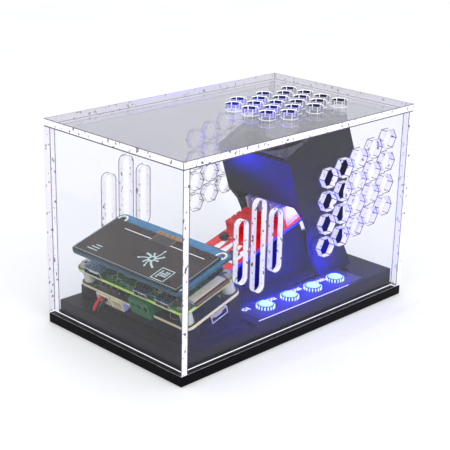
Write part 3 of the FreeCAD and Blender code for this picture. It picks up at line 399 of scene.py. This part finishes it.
# ---------------------------------------------------------------- CAD nodes that stay
def smooth_node(node, width):
    """Gives a CAD node its material, and softens its edges by a bevel of width mm."""
    piece = NODES[node]
    name = piece.data.materials[0].name.split(".")[0]
    piece.data.materials.clear()
    piece.data.materials.append(LOOKS[name])
    if "custom_normal" in piece.data.attributes:
        piece.data.attributes.remove(piece.data.attributes["custom_normal"])
    for polygon in piece.data.polygons:
        polygon.use_smooth = True
    weld = piece.modifiers.new("weld", "WELD")
    weld.merge_threshold = 1e-6
    bevel = piece.modifiers.new("bevel", "BEVEL")
    bevel.width = width * MM
    bevel.segments = 2
    bevel.limit_method = "ANGLE"
    bevel.angle_limit = math.radians(35)
    bevel.use_clamp_overlap = False
    bevel.harden_normals = True


# ---------------------------------------------------------------- new pieces
class Build:
    """A new piece put together from closed solids, in millimetres, in a frame of its own."""

    def __init__(self, name, place):
        self.name = name
        self.mesh = bmesh.new()
        self.place = place
        self.looks = []

    def index(self, look):
        if look not in self.looks:
            self.looks.append(look)
        return self.looks.index(look)

    def shell(self, rings, look, smooth=False):
        """Joins rings of points into one closed solid, with flat ends."""
        made = [[self.mesh.verts.new(p) for p in ring] for ring in rings]
        count = len(rings[0])
        faces = []
        for first, second in zip(made, made[1:]):
            for i in range(count):
                j = (i + 1) % count
                faces.append(self.mesh.faces.new((first[i], first[j], second[j], second[i])))
        ends = [self.mesh.faces.new(made[0][::-1]), self.mesh.faces.new(made[-1])]
        for face in faces + ends:
            face.material_index = self.index(look)
            face.smooth = smooth and face not in ends

    def band(self, loops, look):
        """Joins loops of points, the last one to the first, such as the corners of a ring."""
        made = [[self.mesh.verts.new(p) for p in loop] for loop in loops]
        for k, first in enumerate(made):
            second = made[(k + 1) % len(made)]
            for i in range(len(first)):
                j = (i + 1) % len(first)
                face = self.mesh.faces.new((first[i], first[j], second[j], second[i]))
                face.material_index = self.index(look)

    def block(self, start, size, look, soft=0.0):
        """A box, with its upper edges drawn in by soft."""
        x, y, z = start
        a, b, c = size

        def ring(inset, height):
            return [(x + inset, y + inset, height), (x + a - inset, y + inset, height),
                    (x + a - inset, y + b - inset, height), (x + inset, y + b - inset, height)]

        rings = [ring(0, z)]
        if soft:
            rings.append(ring(0, z + c - soft))
        rings.append(ring(soft, z + c))
        self.shell(rings, look)

    def lathe(self, profile, look, centre=(0, 0, 0), sides=32, ribs=0, rib_depth=0.0, smooth=True):
        """Turns (radius, height) points round a line along the local z axis."""
        rings = []
        for radius, height in profile:
            ring = []
            for step in range(sides):
                turn = 2 * math.pi * step / sides
                reach = radius - rib_depth * (0.5 + 0.5 * math.cos(ribs * turn))
                ring.append((centre[0] + reach * math.cos(turn), centre[1] + reach * math.sin(turn),
                             centre[2] + height))
            rings.append(ring)
        self.shell(rings, look, smooth)

    def washer(self, centre, inner, outer, thick, look):
        """A flat ring."""
        x, y, z = centre
        sides = 28
        turns = [2 * math.pi * step / sides for step in range(sides)]
        self.band([[(x + radius * math.cos(turn), y + radius * math.sin(turn), height) for turn in turns]
                   for radius, height in ((outer, z), (outer, z + thick), (inner, z + thick), (inner, z))],
                  look)

    def plate(self, outline, height, thick, look):
        """A thin flat solid with any outline, given anticlockwise."""
        rings = [[(x, y, z) for x, y in outline] for z in (height, height + thick)]
        self.shell(rings, look)

    def ribbon(self, points, width, height, thick, look):
        """A flat track through 2-D points, mitred where it turns."""
        spots = [Vector(p) for p in points]
        left, right = [], []
        for i, spot in enumerate(spots):
            before = (spot - spots[i - 1]).normalized() if i else None
            after = (spots[i + 1] - spot).normalized() if i + 1 < len(spots) else None
            along = ((before or after) + (after or before)).normalized()
            side = Vector((-along.y, along.x))
            reach = width / 2 / max(0.5, abs(along.dot(before or after)))
            left.append(spot + side * reach)
            right.append(spot - side * reach)
        self.plate([tuple(p) for p in right + left[::-1]], height, thick, look)

    def finish(self, body, slot, *replaced):
        self.mesh.transform(self.place)
        self.mesh.transform(Matrix.Scale(MM, 4))
        bmesh.ops.recalc_face_normals(self.mesh, faces=self.mesh.faces)
        data = bpy.data.meshes.new(self.name)
        self.mesh.to_mesh(data)
        self.mesh.free()
        for look in self.looks:
            data.materials.append(LOOKS[look])
        piece = bpy.data.objects.new(self.name, data)
        bpy.context.scene.collection.objects.link(piece)
        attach(piece, body)
        if replaced:
            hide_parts(*replaced)


# ---------------------------------------------------------------- clear cover
CHAMFER = 0.22
UPRIGHT = 2             # the axis that only the top panel is thin along

# The order of a panel's materials: its faces, its cut edges and their chamfers, the walls of
# its holes and their chamfers, and the line along its foot.
FACE, EDGE, EDGE_LINE, WALL, WALL_LINE, FOOT_LINE = range(6)


def sheet_piece(node, thin_axis):
    """A cover panel with the holes of its CAD node, narrow chamfers and lit cut edges."""
    lid = thin_axis == UPRIGHT
    mesh = bmesh.new()
    mesh.from_mesh(NODES[node].data)
    bmesh.ops.remove_doubles(mesh, verts=mesh.verts, dist=1e-6)
    bmesh.ops.dissolve_limit(mesh, angle_limit=math.radians(1), verts=mesh.verts, edges=mesh.edges)
    start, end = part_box(node)
    for face in mesh.faces:
        face.material_index = FACE if abs(face.normal[thin_axis]) > 0.99 else EDGE
        spot = face.calc_center_median()
        inside = all(start[k] + MM < spot[k] < end[k] - MM for k in range(3) if k != thin_axis)
        if face.material_index == EDGE and inside:
            face.material_index = WALL
        if not lid and face.normal.z < -0.99 and not inside:
            face.material_index = FACE
    rims = [edge for edge in mesh.edges
            if len(edge.link_faces) == 2 and edge.calc_face_angle(0) > math.radians(35)]
    holes = [edge for edge in rims if any(face.material_index == WALL for face in edge.link_faces)]
    outer = [edge for edge in rims if edge not in set(holes)]
    width = CHAMFER * MM
    bmesh.ops.bevel(mesh, geom=outer, offset=width, segments=1, affect="EDGES", material=EDGE_LINE)
    holes = [edge for edge in holes if edge.is_valid]
    bmesh.ops.bevel(mesh, geom=holes, offset=width, segments=1, affect="EDGES", material=WALL_LINE)
    for face in mesh.faces:
        at_foot = max(v.co.z for v in face.verts) < start.z + 1.1 * width
        if not lid and face.material_index == EDGE_LINE and at_foot:
            face.material_index = FOOT_LINE
    bmesh.ops.recalc_face_normals(mesh, faces=mesh.faces)
    data = bpy.data.meshes.new(node + "_sheet")
    mesh.to_mesh(data)
    mesh.free()
    # The cut edges, chamfers, hole walls and foot line get looks that paint their glow, highlights and
    # shade.
    for look in ("clear_lid" if lid else "clear_acrylic", "acrylic_edge", "acrylic_line",
                 "lid_wall" if lid else "acrylic_edge", "bright_line" if lid else "acrylic_line",
                 "bright_line"):
        data.materials.append(LOOKS[look])
    piece = bpy.data.objects.new(node + "_sheet", data)
    bpy.context.scene.collection.objects.link(piece)
    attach(piece, "cover")
    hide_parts(node)


def make_cover():
    for node, axis in (("cover_top", UPRIGHT), ("cover_front", 1), ("cover_rear", 1),
                       ("cover_left_end", 0), ("cover_right_end", 0)):
        sheet_piece(node, axis)


# ---------------------------------------------------------------- buttons
TEETH = 18
ROUND = 96


def make_button_cap(number):
    """A glowing dome in a ribbed skirt with a ring of pale teeth, on a flange; the teeth glow
    paler and brighter than the skirt, a painted glint on its ribs.
    """
    node = f"power_button_{number}"
    centre, start = middle(node), low(node)
    tall = high(node).z - start.z
    wide = (high(node).x - start.x) / 2
    flange, skirt, dome_tall, tooth = 0.7, wide - 0.8, 1.15, 0.24
    dome, shoulder = skirt - 0.35, tall - dome_tall
    cap = Build(node + "_cap", level(centre.x, centre.y, start.z))
    cap.lathe([(wide, 0), (wide, flange - 0.1), (wide - 0.1, flange), (skirt, flange)],
              "button_skirt", sides=ROUND)
    cap.lathe([(skirt, flange), (skirt, shoulder), (skirt - 0.3, shoulder + 0.15)],
              "button_skirt", sides=ROUND, ribs=TEETH, rib_depth=0.25)
    arc = [(dome, shoulder)]
    for step in range(7):
        turn = math.radians(15 * step)
        arc.append((dome * math.cos(turn) + 0.02, shoulder + dome_tall * math.sin(turn)))
    cap.lathe(arc, "button_glow", sides=ROUND)
    top = shoulder - flange
    for step in range(TEETH):
        turn = 2 * math.pi * step / TEETH
        spot = (skirt + 0.18) * math.cos(turn), (skirt + 0.18) * math.sin(turn)
        cap.lathe([(tooth, 0), (tooth, top - 0.25), (tooth / 2, top)],
                  "button_tooth", (*spot, flange - 0.02), sides=10)
    cap.finish(f"button_{number}", "button_glow", node)


def make_button_marks(number):
    """A ring and as many bars as the button's number, beside it on the hub."""
    centre = middle(f"power_button_{number}")
    first, pitch, wide = -6.6, 1.1, 0.6
    marks = Build(f"button_mark_{number}", level(centre.x, centre.y, high("hub_lid").z))
    for bar in range(number):
        long = 2.6 - 0.5 * (bar % 2)
        # The marks are pale print with a painted glow.
        marks.block((first + bar * pitch, 2.4, 0.0), (wide, long, PLATING), "bright_line")
    marks.washer((-8.3, 3.7, 0.0), 0.7, 1.2, PLATING, "bright_line")
    marks.finish("unit", "hub_black")


def make_buttons():
    for number in range(1, 5):
        make_button_cap(number)
        make_button_marks(number)


def make_deck_line():
    """A pale glowing strip along the deck's front edge: a painted highlight."""
    start, long, inset, wide, sunk, tall = -21.5, 56.0, 0.35, 0.4, 0.12, 0.16
    line = Build("deck_front_line", level(0, low("platform").y, high("hub_lid").z))
    line.block((start, inset, -sunk), (long, wide, tall), "bright_line")
    line.finish("unit", "printed_black")


# ---------------------------------------------------------------- board details
def clear_of(x, y, wide, tall, keep_out):
    return all(x + wide < a or x > c or y + tall < b or y > d for a, b, c, d in keep_out)


PARTS = {"resistor": (1.0, 0.5, 0.35), "capacitor": (1.2, 0.7, 0.6), "chip": (2.2, 1.8, 0.7)}


def populate(build, rng, area, count, keep_out, up=True):
    """Small chips, resistors and capacitors scattered in an area, clear of what is there,
    on the board's top or, where up is False, under it."""
    x0, y0, x1, y1 = area
    room, end, leg = 0.3, 0.25, 0.15
    taken = list(keep_out)
    for _ in range(count):
        kind = rng.choice(("resistor", "capacitor", "capacitor", "chip"))
        long, wide, tall = PARTS[kind]
        if rng.random() < 0.5:
            long, wide = wide, long
        x = rng.uniform(x0, x1 - long)
        y = rng.uniform(y0, y1 - wide)
        if not clear_of(x - room, y - room, long + 2 * room, wide + 2 * room, taken):
            continue
        taken.append((x, y, x + long, y + wide))
        base = 0.0 if up else -tall
        if kind == "chip":
            build.block((x, y, base), (long, wide, tall), "chip_black", 0.08 if up else 0)
            for step in range(3):
                place = (0.25 + step * 0.62) * wide / 2.2
                build.block((x - room, y + place, base if up else base + tall - leg),
                            (long + 2 * room, 0.22, leg), "solder")
            continue
        body = "part_dark" if kind == "resistor" else "part_tan"
        if long > wide:
            build.block((x + end, y, base), (long - 2 * end, wide, tall), body)
            for start in (x, x + long - end):
                build.block((start, y - 0.02, base), (end, wide + 0.04, tall + 0.03), "solder")
        else:
            build.block((x, y + end, base), (long, wide - 2 * end, tall), body)
            for start in (y, y + wide - end):
                build.block((x - 0.02, start, base), (long + 0.04, end, tall + 0.03), "solder")


def hole_spots(half_u, half_v):
    """A board's four mounting holes, in its own frame."""
    return [(u * (half_u - HOLE_INSET), v * (half_v - HOLE_INSET)) for u in (-1, 1) for v in (-1, 1)]


def hole_squares(half_u, half_v):
    """The squares round the mounting holes that stay clear of parts."""
    return [(x - HOLE_KEEP, y - HOLE_KEEP, x + HOLE_KEEP, y + HOLE_KEEP)
            for x, y in hole_spots(half_u, half_v)]


def pads_round_holes(build, half_u, half_v):
    for x, y in hole_spots(half_u, half_v):
        build.washer((x, y, 0.0), HOLE_EDGE, 2.75, PLATING, "gold")


def tracks(build, rng, area, count, look):
    """Copper runs with 45 degree bends, each ending in a small round pad."""
    x0, y0, x1, y1 = area
    for _ in range(count):
        x, y = rng.uniform(x0, x1), rng.uniform(y0, y1)
        turn = rng.randrange(8)
        points = [(x, y)]
        for _ in range(rng.randrange(2, 5)):
            turn += rng.choice((-1, 0, 1))
            reach = rng.uniform(1.2, 4.0)
            x += reach * math.cos(math.radians(45 * turn))
            y += reach * math.sin(math.radians(45 * turn))
            if not (x0 < x < x1 and y0 < y < y1):
                break
            points.append((x, y))
        if len(points) > 1:
            build.ribbon(points, 0.22, 0.0, INK, look)
            build.lathe([(0.34, 0), (0.34, SILK)], "solder", (*points[-1], 0.0), sides=12, smooth=False)


def points_in(node, place):
    """A node's points in a board's own frame, in millimetres."""
    inside = place.inverted()
    return [inside @ (v.co / MM) for v in NODES[node].data.vertices]


def half_size(node, place):
    """Half the length up the slope and half the width of a node, in its own frame."""
    spots = points_in(node, place)
    return max(s.x for s in spots), max(s.y for s in spots)


def box_on(node, place):
    """A node's outline on a board and a margin, for keeping parts clear of it."""
    spots = points_in(node, place)
    margin = 0.4
    return (min(s.x for s in spots) - margin, min(s.y for s in spots) - margin,
            max(s.x for s in spots) + margin, max(s.y for s in spots) + margin)


ON_MAIN = ("processor", "radio_shield", "mini_hdmi_port", "micro_usb_ports", "camera_connector",
           "camera_latch", "sd_socket", "gpio_header")


def make_main_board_details():
    place = surface("main_board")
    half_u, half_v = half_size("main_board", place)
    rng = random.Random(7)
    parts = Build("main_board_small_parts", place)
    keep = [box_on(node, place) for node in ON_MAIN] + hole_squares(half_u, half_v)
    # Room for the small parts of the CAD node main_board_parts: two rows and a block.
    for number in range(6):
        upper, lower = number * 5, number * 2.2
        keep.append((6.2, -20.4 + upper, 7.8, -18.0 + upper))
        keep.append((-8.6, -1.9 + lower, -6.2, -0.3 + lower))
    keep.append((-10.4, -16, -6.4, -12.2))
    populate(parts, rng, (-half_u + 0.8, -half_v + 2, half_u - 6, half_v - 2), 260, keep)
    parts.finish("unit", "chip_tan")
    copper = Build("main_board_tracks", place)
    pads_round_holes(copper, half_u, half_v)
    tracks(copper, rng, (-half_u + 1, -half_v + 6.5, half_u - 6, half_v - 6.5), 60, "ink")
    edge, first, pitch = half_u - 0.35, 8, 4.1
    for number in range(12):
        copper.block((-edge, -half_v + first + number * pitch, 0.0), (0.5, 1.4, SILK), "gold")
    copper.finish("unit", "board_green")
    below = Build("main_board_under_parts", place @ level(0, 0, -BOARD_THICK))
    populate(below, rng, (-half_u + 2, -half_v + 7, half_u - 7, half_v - 7), 90, [], up=False)
    below.finish("unit", "chip_tan")


def make_power_board_details():
    place = surface("power_board")
    half_u, half_v = half_size("power_board", place)
    rng = random.Random(11)
    keep = [box_on("terminal_block", place)] + hole_squares(half_u, half_v)
    # Room for the chips of the CAD node power_board_chips: a corner and a size each.
    for x, y, long, wide in ((-3.5, -24.5, 8, 8), (3.5, -14.5, 6, 6), (-9.5, 9.5, 5, 7),
                             (-2.5, 7.5, 7, 7), (4.5, 17.5, 4, 6)):
        keep.append((x, y, x + long, y + wide))
    parts = Build("power_board_small_parts", place)
    populate(parts, rng, (-half_u + 0.8, -half_v + 2, half_u - 1, half_v - 2), 240, keep)
    parts.finish("unit", "chip_tan")
    copper = Build("power_board_tracks", place)
    pads_round_holes(copper, half_u, half_v)
    tracks(copper, rng, (-half_u + 1, -half_v + 6.5, half_u - 1, half_v - 6.5), 50, "part_tan")
    copper.finish("unit", "board_black")


def edge_band(name, node, slot, look):
    """The bare laminate that shows all round a board's rim."""
    place = surface(node)
    half_u, half_v = half_size(node, place)
    steps, proud, sunk, lip = 6, 0.06, 0.4, 0.12

    def outline(grow, height):
        points = []
        for u, v, start in ((1, 1, 0), (-1, 1, 90), (-1, -1, 180), (1, -1, 270)):
            for step in range(steps + 1):
                turn = math.radians(start + 90 * step / steps)
                reach = BOARD_CORNER + grow
                points.append((u * (half_u - BOARD_CORNER) + reach * math.cos(turn),
                               v * (half_v - BOARD_CORNER) + reach * math.sin(turn), height))
        return points

    band = Build(name, place)
    band.band([outline(grow, height) for grow, height in (
        (-sunk, -lip), (proud, -lip), (proud, -BOARD_THICK + lip), (-sunk, -BOARD_THICK + lip))], look)
    band.finish("unit", slot)


# ---------------------------------------------------------------- display
def make_display_rings():
    """Plated and printed rings round the display board's mounting holes."""
    board = surface("display_board")
    rings = Build("display_board_rings", board)
    for x, y in hole_spots(*half_size("display_board", board)):
        rings.washer((x, y, 0.0), HOLE_EDGE, 1.95, PLATING, "gold")
        rings.washer((x, y, 0.0), 1.95, 2.55, 0.06, "silk")
    rings.finish("unit", "board_blue")


def make_display_lines(glass, long_u, long_v):
    """The line round the display's picture, the bright line above it and the flap over it."""
    inset, upper, fine = 0.5, 4.2, 0.14
    start_u, start_v = -long_u + inset, -long_v + inset
    lines = Build("display_edge_line", glass)
    lines.block((start_u, start_v, 0.0), (fine, 2 * (long_v - inset), INK), "ink")
    lines.block((long_u - upper, -long_v + 5, 0.0), (0.26, 2 * long_v - 15, INK), "bright_line")
    for v in (-1, 1):
        lines.block((start_u, v * (long_v - inset) - fine / 2, 0.0),
                    (2 * (long_u - inset), fine, INK), "ink")
    lines.finish("unit", "display_glass")
    start, low_v, wide, seam = long_u - upper - 1.2, -6.5, 11.0, 0.24
    flap = Build("display_flap", glass)
    flap.block((start, low_v, 0.0), (upper + 1.0, wide, 0.12), "part_dark", 0.05)
    for v in (low_v, low_v + wide):
        flap.block((start, v - seam / 2, 0.0), (upper + 1.0, seam, 0.15), "flex_amber")
    flap.finish("unit", "display_glass")


def draw_star(art, centre_u, centre_v):
    """Nine bent arms round a ring, each with a dot at its end."""
    for arm in range(9):
        turn = math.radians(arm * 40 + 8)
        reach = 3.4 + 2.8 * (arm % 3) / 2
        bend = turn + 0.35
        points = []
        for r in (0.9, reach * 0.6, reach):
            lean = turn + (bend - turn) * r / reach
            points.append((centre_u + r * math.cos(lean), centre_v + r * math.sin(lean)))
        art.ribbon(points, 0.55 + 0.3 * (arm % 2), 0.0, INK, "ink")
        art.lathe([(0.5, 0), (0.5, SILK)], "ink", (*points[-1], 0.0), sides=12, smooth=False)
    art.washer((centre_u, centre_v, 0.0), 1.3, 1.9, INK, "ink")


def draw_squares(art, rng, box_u, box_v):
    """A square frame with some small squares in it."""
    side, pitch, small = 3.4, 1.2, 0.85
    corners = [(box_u - side, box_v - side), (box_u + side, box_v - side), (box_u + side, box_v + side),
               (box_u - side, box_v + side), (box_u - side, box_v - side + 0.5)]
    art.ribbon(corners, 0.4, 0.0, INK, "ink")
    for row in range(4):
        for column in range(4):
            if rng.random() < 0.62:
                art.block((box_u - 2.3 + pitch * row, box_v - 2.3 + pitch * column, 0.0),
                          (small, small, INK), "ink")


def make_display_details():
    make_display_rings()
    glass = surface("display_panel")
    long_u, long_v = half_size("display_panel", glass)
    make_display_lines(glass, long_u, long_v)
    art = Build("display_artwork", glass)
    draw_star(art, -1.8, -6.5)
    draw_squares(art, random.Random(23), -7.4, -18.6)
    for row in range(3):
        art.block((-long_u + 3.0 + row * 1.5, long_v - 12.0, 0.0), (0.5, 6.0 - row * 1.2, INK), "ink")
    art.finish("unit", "display_glass")


# ---------------------------------------------------------------- plug-in stick
def make_stick_details():
    """A printed comb, painted blue light along the edge and the small parts of the stick board."""
    board = surface("stick_board")
    half_u, half_v = half_size("stick_board", board)
    start, palm, reach, pitch = -half_u + 12.5, 5.0, 12.0, 4.5
    silk = Build("stick_silk", board)
    silk.plate([(start, -half_v + 2), (start + palm, -half_v + 2), (start + palm, half_v - 4),
                (start, half_v - 4)], 0.0, SILK, "silk")
    for finger in range(4):
        y = -half_v + 2.2 + finger * pitch
        silk.plate([(start + palm, y), (start + reach, y + 0.8), (start + reach, y + 2.6),
                    (start + palm, y + 3.4)], 0.0, SILK, "silk")
    silk.finish("unit", "board_red")
    end, proud, wide, sunk, tall = 3, 0.12, 0.14, 1.45, 1.2
    # A strip of blue glow on the board's edge: painted light, not a lamp.
    lamp = Build("stick_edge_glow", board)
    lamp.block((-half_u + end, -half_v - proud, -sunk), (2 * half_u - 2 * end, wide, tall),
               "button_skirt")
    lamp.finish("unit", "board_red")
    parts = Build("stick_small_parts", board)
    keep = [box_on("heat_spreader", board), box_on("heat_sink", board),
            (start - 0.5, -half_v, start + 10, half_v)]
    populate(parts, random.Random(31), (-half_u + 1, -half_v + 1, half_u - 1, half_v - 1), 80, keep)
    parts.finish("unit", "chip_tan")


# ---------------------------------------------------------------- fan
def make_fan_hub():
    """The rotor's cap and the round label on it."""
    hub = Build("fan_hub_cap", surface("fan_rotor"))
    hub.lathe([(8.6, 0.0), (8.6, 0.12), (8.2, 0.2), (0.4, 0.2)], "fan_plastic", sides=64)
    hub.lathe([(7.6, 0.19), (7.6, 0.24), (7.5, 0.26), (0.4, 0.26)], "hub_label", sides=64)
    hub.finish("rotor", "fan_plastic")


def make_fan_face():
    """The fan frame's square face, round its bore, as a lighter grey sheet that paints a sheen on
    the frame, and its four screw heads.
    """
    half = (high("fan_frame").y - low("fan_frame").y) / 2
    edge, corner, bore, proud, sides = half - 0.15, half * 1.34, half - 0.9, 0.2, 96
    loops = []
    for outer, height in ((True, 0.0), (True, proud), (False, proud), (False, 0.0)):
        loop = []
        for step in range(sides):
            turn = 2 * math.pi * (step + 0.5) / sides
            x, y = math.cos(turn), math.sin(turn)
            reach = min(edge / max(abs(x), abs(y)), corner) if outer else bore
            loop.append((x * reach, y * reach, height))
        loops.append(loop)
    plate = Build("fan_face_plate", surface("fan_frame"))
    plate.band(loops, "fan_face")
    pitch = half - 3.0
    for u in (-1, 1):
        for v in (-1, 1):
            plate.lathe([(1.6, proud - 0.05), (1.6, proud + 0.02), (0.2, proud + 0.02)], "fan_plastic",
                        (u * pitch, v * pitch, 0.0), sides=24, smooth=False)
    plate.finish("unit", "fan_plastic")


# ---------------------------------------------------------------- stage, light and camera
BACK_WALL = (0.67, 0.66, 0.34)      # the way to the bright wall that the clear lid mirrors
BLUE = (0.006, 0.010, 1.0)
CAMERA_SPOT = (-0.3295, -0.3180, 0.2001)
CAMERA_ROLL, CAMERA_TILT, CAMERA_TURN = 1.40, 109.54, 45.59      # degrees


def make_floor():
    floor = bpy.data.meshes.new("floor")
    reach = 6.0
    floor.from_pydata([(-reach, -reach, 0), (reach, -reach, 0), (reach, reach, 0), (-reach, reach, 0)],
                      [], [(0, 1, 2, 3)])
    floor.materials.append(pale_floor())
    ground = bpy.data.objects.new("floor", floor)
    bpy.context.scene.collection.objects.link(ground)


def make_room():
    """A pale backdrop for the camera, and a dim room with one bright wall for all else."""
    world = bpy.data.worlds.new("studio")
    world.use_nodes = True
    tree = world.node_tree
    backdrop = tree.nodes["Background"]
    backdrop.inputs["Color"].default_value = (0.97, 0.98, 1.0, 1)
    room = tree.nodes.new("ShaderNodeBackground")
    room.inputs["Color"].default_value = (0.93, 0.95, 1.0, 1)
    toward = tree.nodes.new("ShaderNodeTexCoord").outputs["Generated"]
    share = tree.nodes.new("ShaderNodeVectorMath")
    share.operation = "DOT_PRODUCT"
    share.inputs[1].default_value = BACK_WALL
    tree.links.new(toward, share.inputs[0])
    wall = tree.nodes.new("ShaderNodeMapRange")
    for socket, value in (("From Min", 0.75), ("From Max", 0.92), ("To Min", 0.22), ("To Max", 0.9)):
        wall.inputs[socket].default_value = value
    tree.links.new(share.outputs["Value"], wall.inputs["Value"])
    tree.links.new(wall.outputs["Result"], room.inputs["Strength"])
    seen = tree.nodes.new("ShaderNodeLightPath").outputs["Is Camera Ray"]
    mix = tree.nodes.new("ShaderNodeMixShader")
    tree.links.new(seen, mix.inputs[0])
    tree.links.new(room.outputs[0], mix.inputs[1])
    tree.links.new(backdrop.outputs[0], mix.inputs[2])
    tree.links.new(mix.outputs[0], tree.nodes["World Output"].inputs["Surface"])
    bpy.context.scene.world = world


def area_light(name, place, target, size, power, colour=(1, 1, 1)):
    data = bpy.data.lights.new(name, "AREA")
    data.shape = "RECTANGLE"
    data.size, data.size_y = size
    data.energy = power
    data.color = colour
    lamp = bpy.data.objects.new(name, data)
    lamp.visible_glossy = False
    lamp.location = place
    lamp.rotation_euler = (Vector(target) - Vector(place)).to_track_quat("-Z", "Y").to_euler()
    bpy.context.scene.collection.objects.link(lamp)


def point_light(name, place, power, colour, radius):
    data = bpy.data.lights.new(name, "POINT")
    data.energy = power
    data.color = colour
    data.shadow_soft_size = radius * MM
    lamp = bpy.data.objects.new(name, data)
    lamp.visible_glossy = False
    lamp.location = Vector(place) * MM
    bpy.context.scene.collection.objects.link(lamp)


def make_lights():
    data = bpy.data.lights.new("soft_sun", "SUN")
    data.energy = 2.6
    data.angle = math.radians(110)
    sun = bpy.data.objects.new("soft_sun", data)
    sun.rotation_euler = (math.radians(12), math.radians(-10), 0)
    bpy.context.scene.collection.objects.link(sun)
    area_light("front_strip", (-0.25, -0.7, 0.35), (0, 0, 0.03), (0.5, 0.25), 1.6)
    for number in range(1, 5):
        centre = middle(f"power_button_{number}")
        top = high(f"power_button_{number}").z
        point_light(f"button_light_{number}", (centre.x, centre.y, top + 3.0), 0.10, BLUE, 1.2)
    hood = low("fan_hood")
    for name, y, z, power in (("hood_light", 6, 52, 0.10), ("edge_light", -17, 42, 0.045)):
        start = Vector((hood.x - 9, y, hood.z + z)) * MM
        area_light(name, start, start + Vector((0.02, 0.0, 0.03)), (0.016, 0.010), power, BLUE)
    leg = Vector((hood.x + 12, -23.5, high("hub_lid").z + 14)) * MM
    area_light("leg_light", leg, leg + Vector((0.02, 0.012, -0.004)), (0.003, 0.012), 0.02, BLUE)
    sink = middle("heat_sink")
    pale = Vector((sink.x - 2, sink.y - 16, sink.z + 1)) * MM
    area_light("sink_light", pale, sink * MM, (0.004, 0.004), 0.0012, (1.0, 0.85, 1.0))


def make_camera():
    data = bpy.data.cameras.new("camera")
    data.lens = 92.08
    data.sensor_width = 36.0
    data.clip_start = 0.01
    camera = bpy.data.objects.new("camera", data)
    to_camera = (Matrix.Rotation(math.radians(CAMERA_ROLL), 3, "Z")
                 @ Matrix.Rotation(math.radians(CAMERA_TILT), 3, "X")
                 @ Matrix.Rotation(math.radians(CAMERA_TURN), 3, "Z"))
    turn = to_camera.transposed() @ Matrix.Diagonal((1, -1, -1))
    camera.matrix_world = Matrix.Translation(CAMERA_SPOT) @ turn.to_4x4()
    bpy.context.scene.collection.objects.link(camera)
    bpy.context.scene.camera = camera


# How far each node's edges are softened, in millimetres.
BEVELS = {"platform": 0.35, "fan_hood": 0.3, "base_plate": 0.35, "stick_cradle": 0.3, "stack_stand": 0.3,
          "fan_frame": 0.2, "display_panel": 0.15, "heat_spreader": 0.2}
SMALL_BEVEL = 0.08

make_floor()
make_room()
make_lights()
make_camera()
make_cover()
make_buttons()
make_deck_line()
make_main_board_details()
make_power_board_details()
edge_band("main_board_rim", "main_board", "board_green", "board_lime")
edge_band("power_board_rim", "power_board", "board_black", "board_edge")
edge_band("display_board_rim", "display_board", "board_blue", "display_rim")
make_display_details()
make_stick_details()
make_fan_hub()
make_fan_face()
for name in sorted(NODES):
    if not NODES[name].hide_render:
        smooth_node(name, BEVELS.get(name, SMALL_BEVEL))

bpy.context.scene.view_settings.view_transform = "Standard"
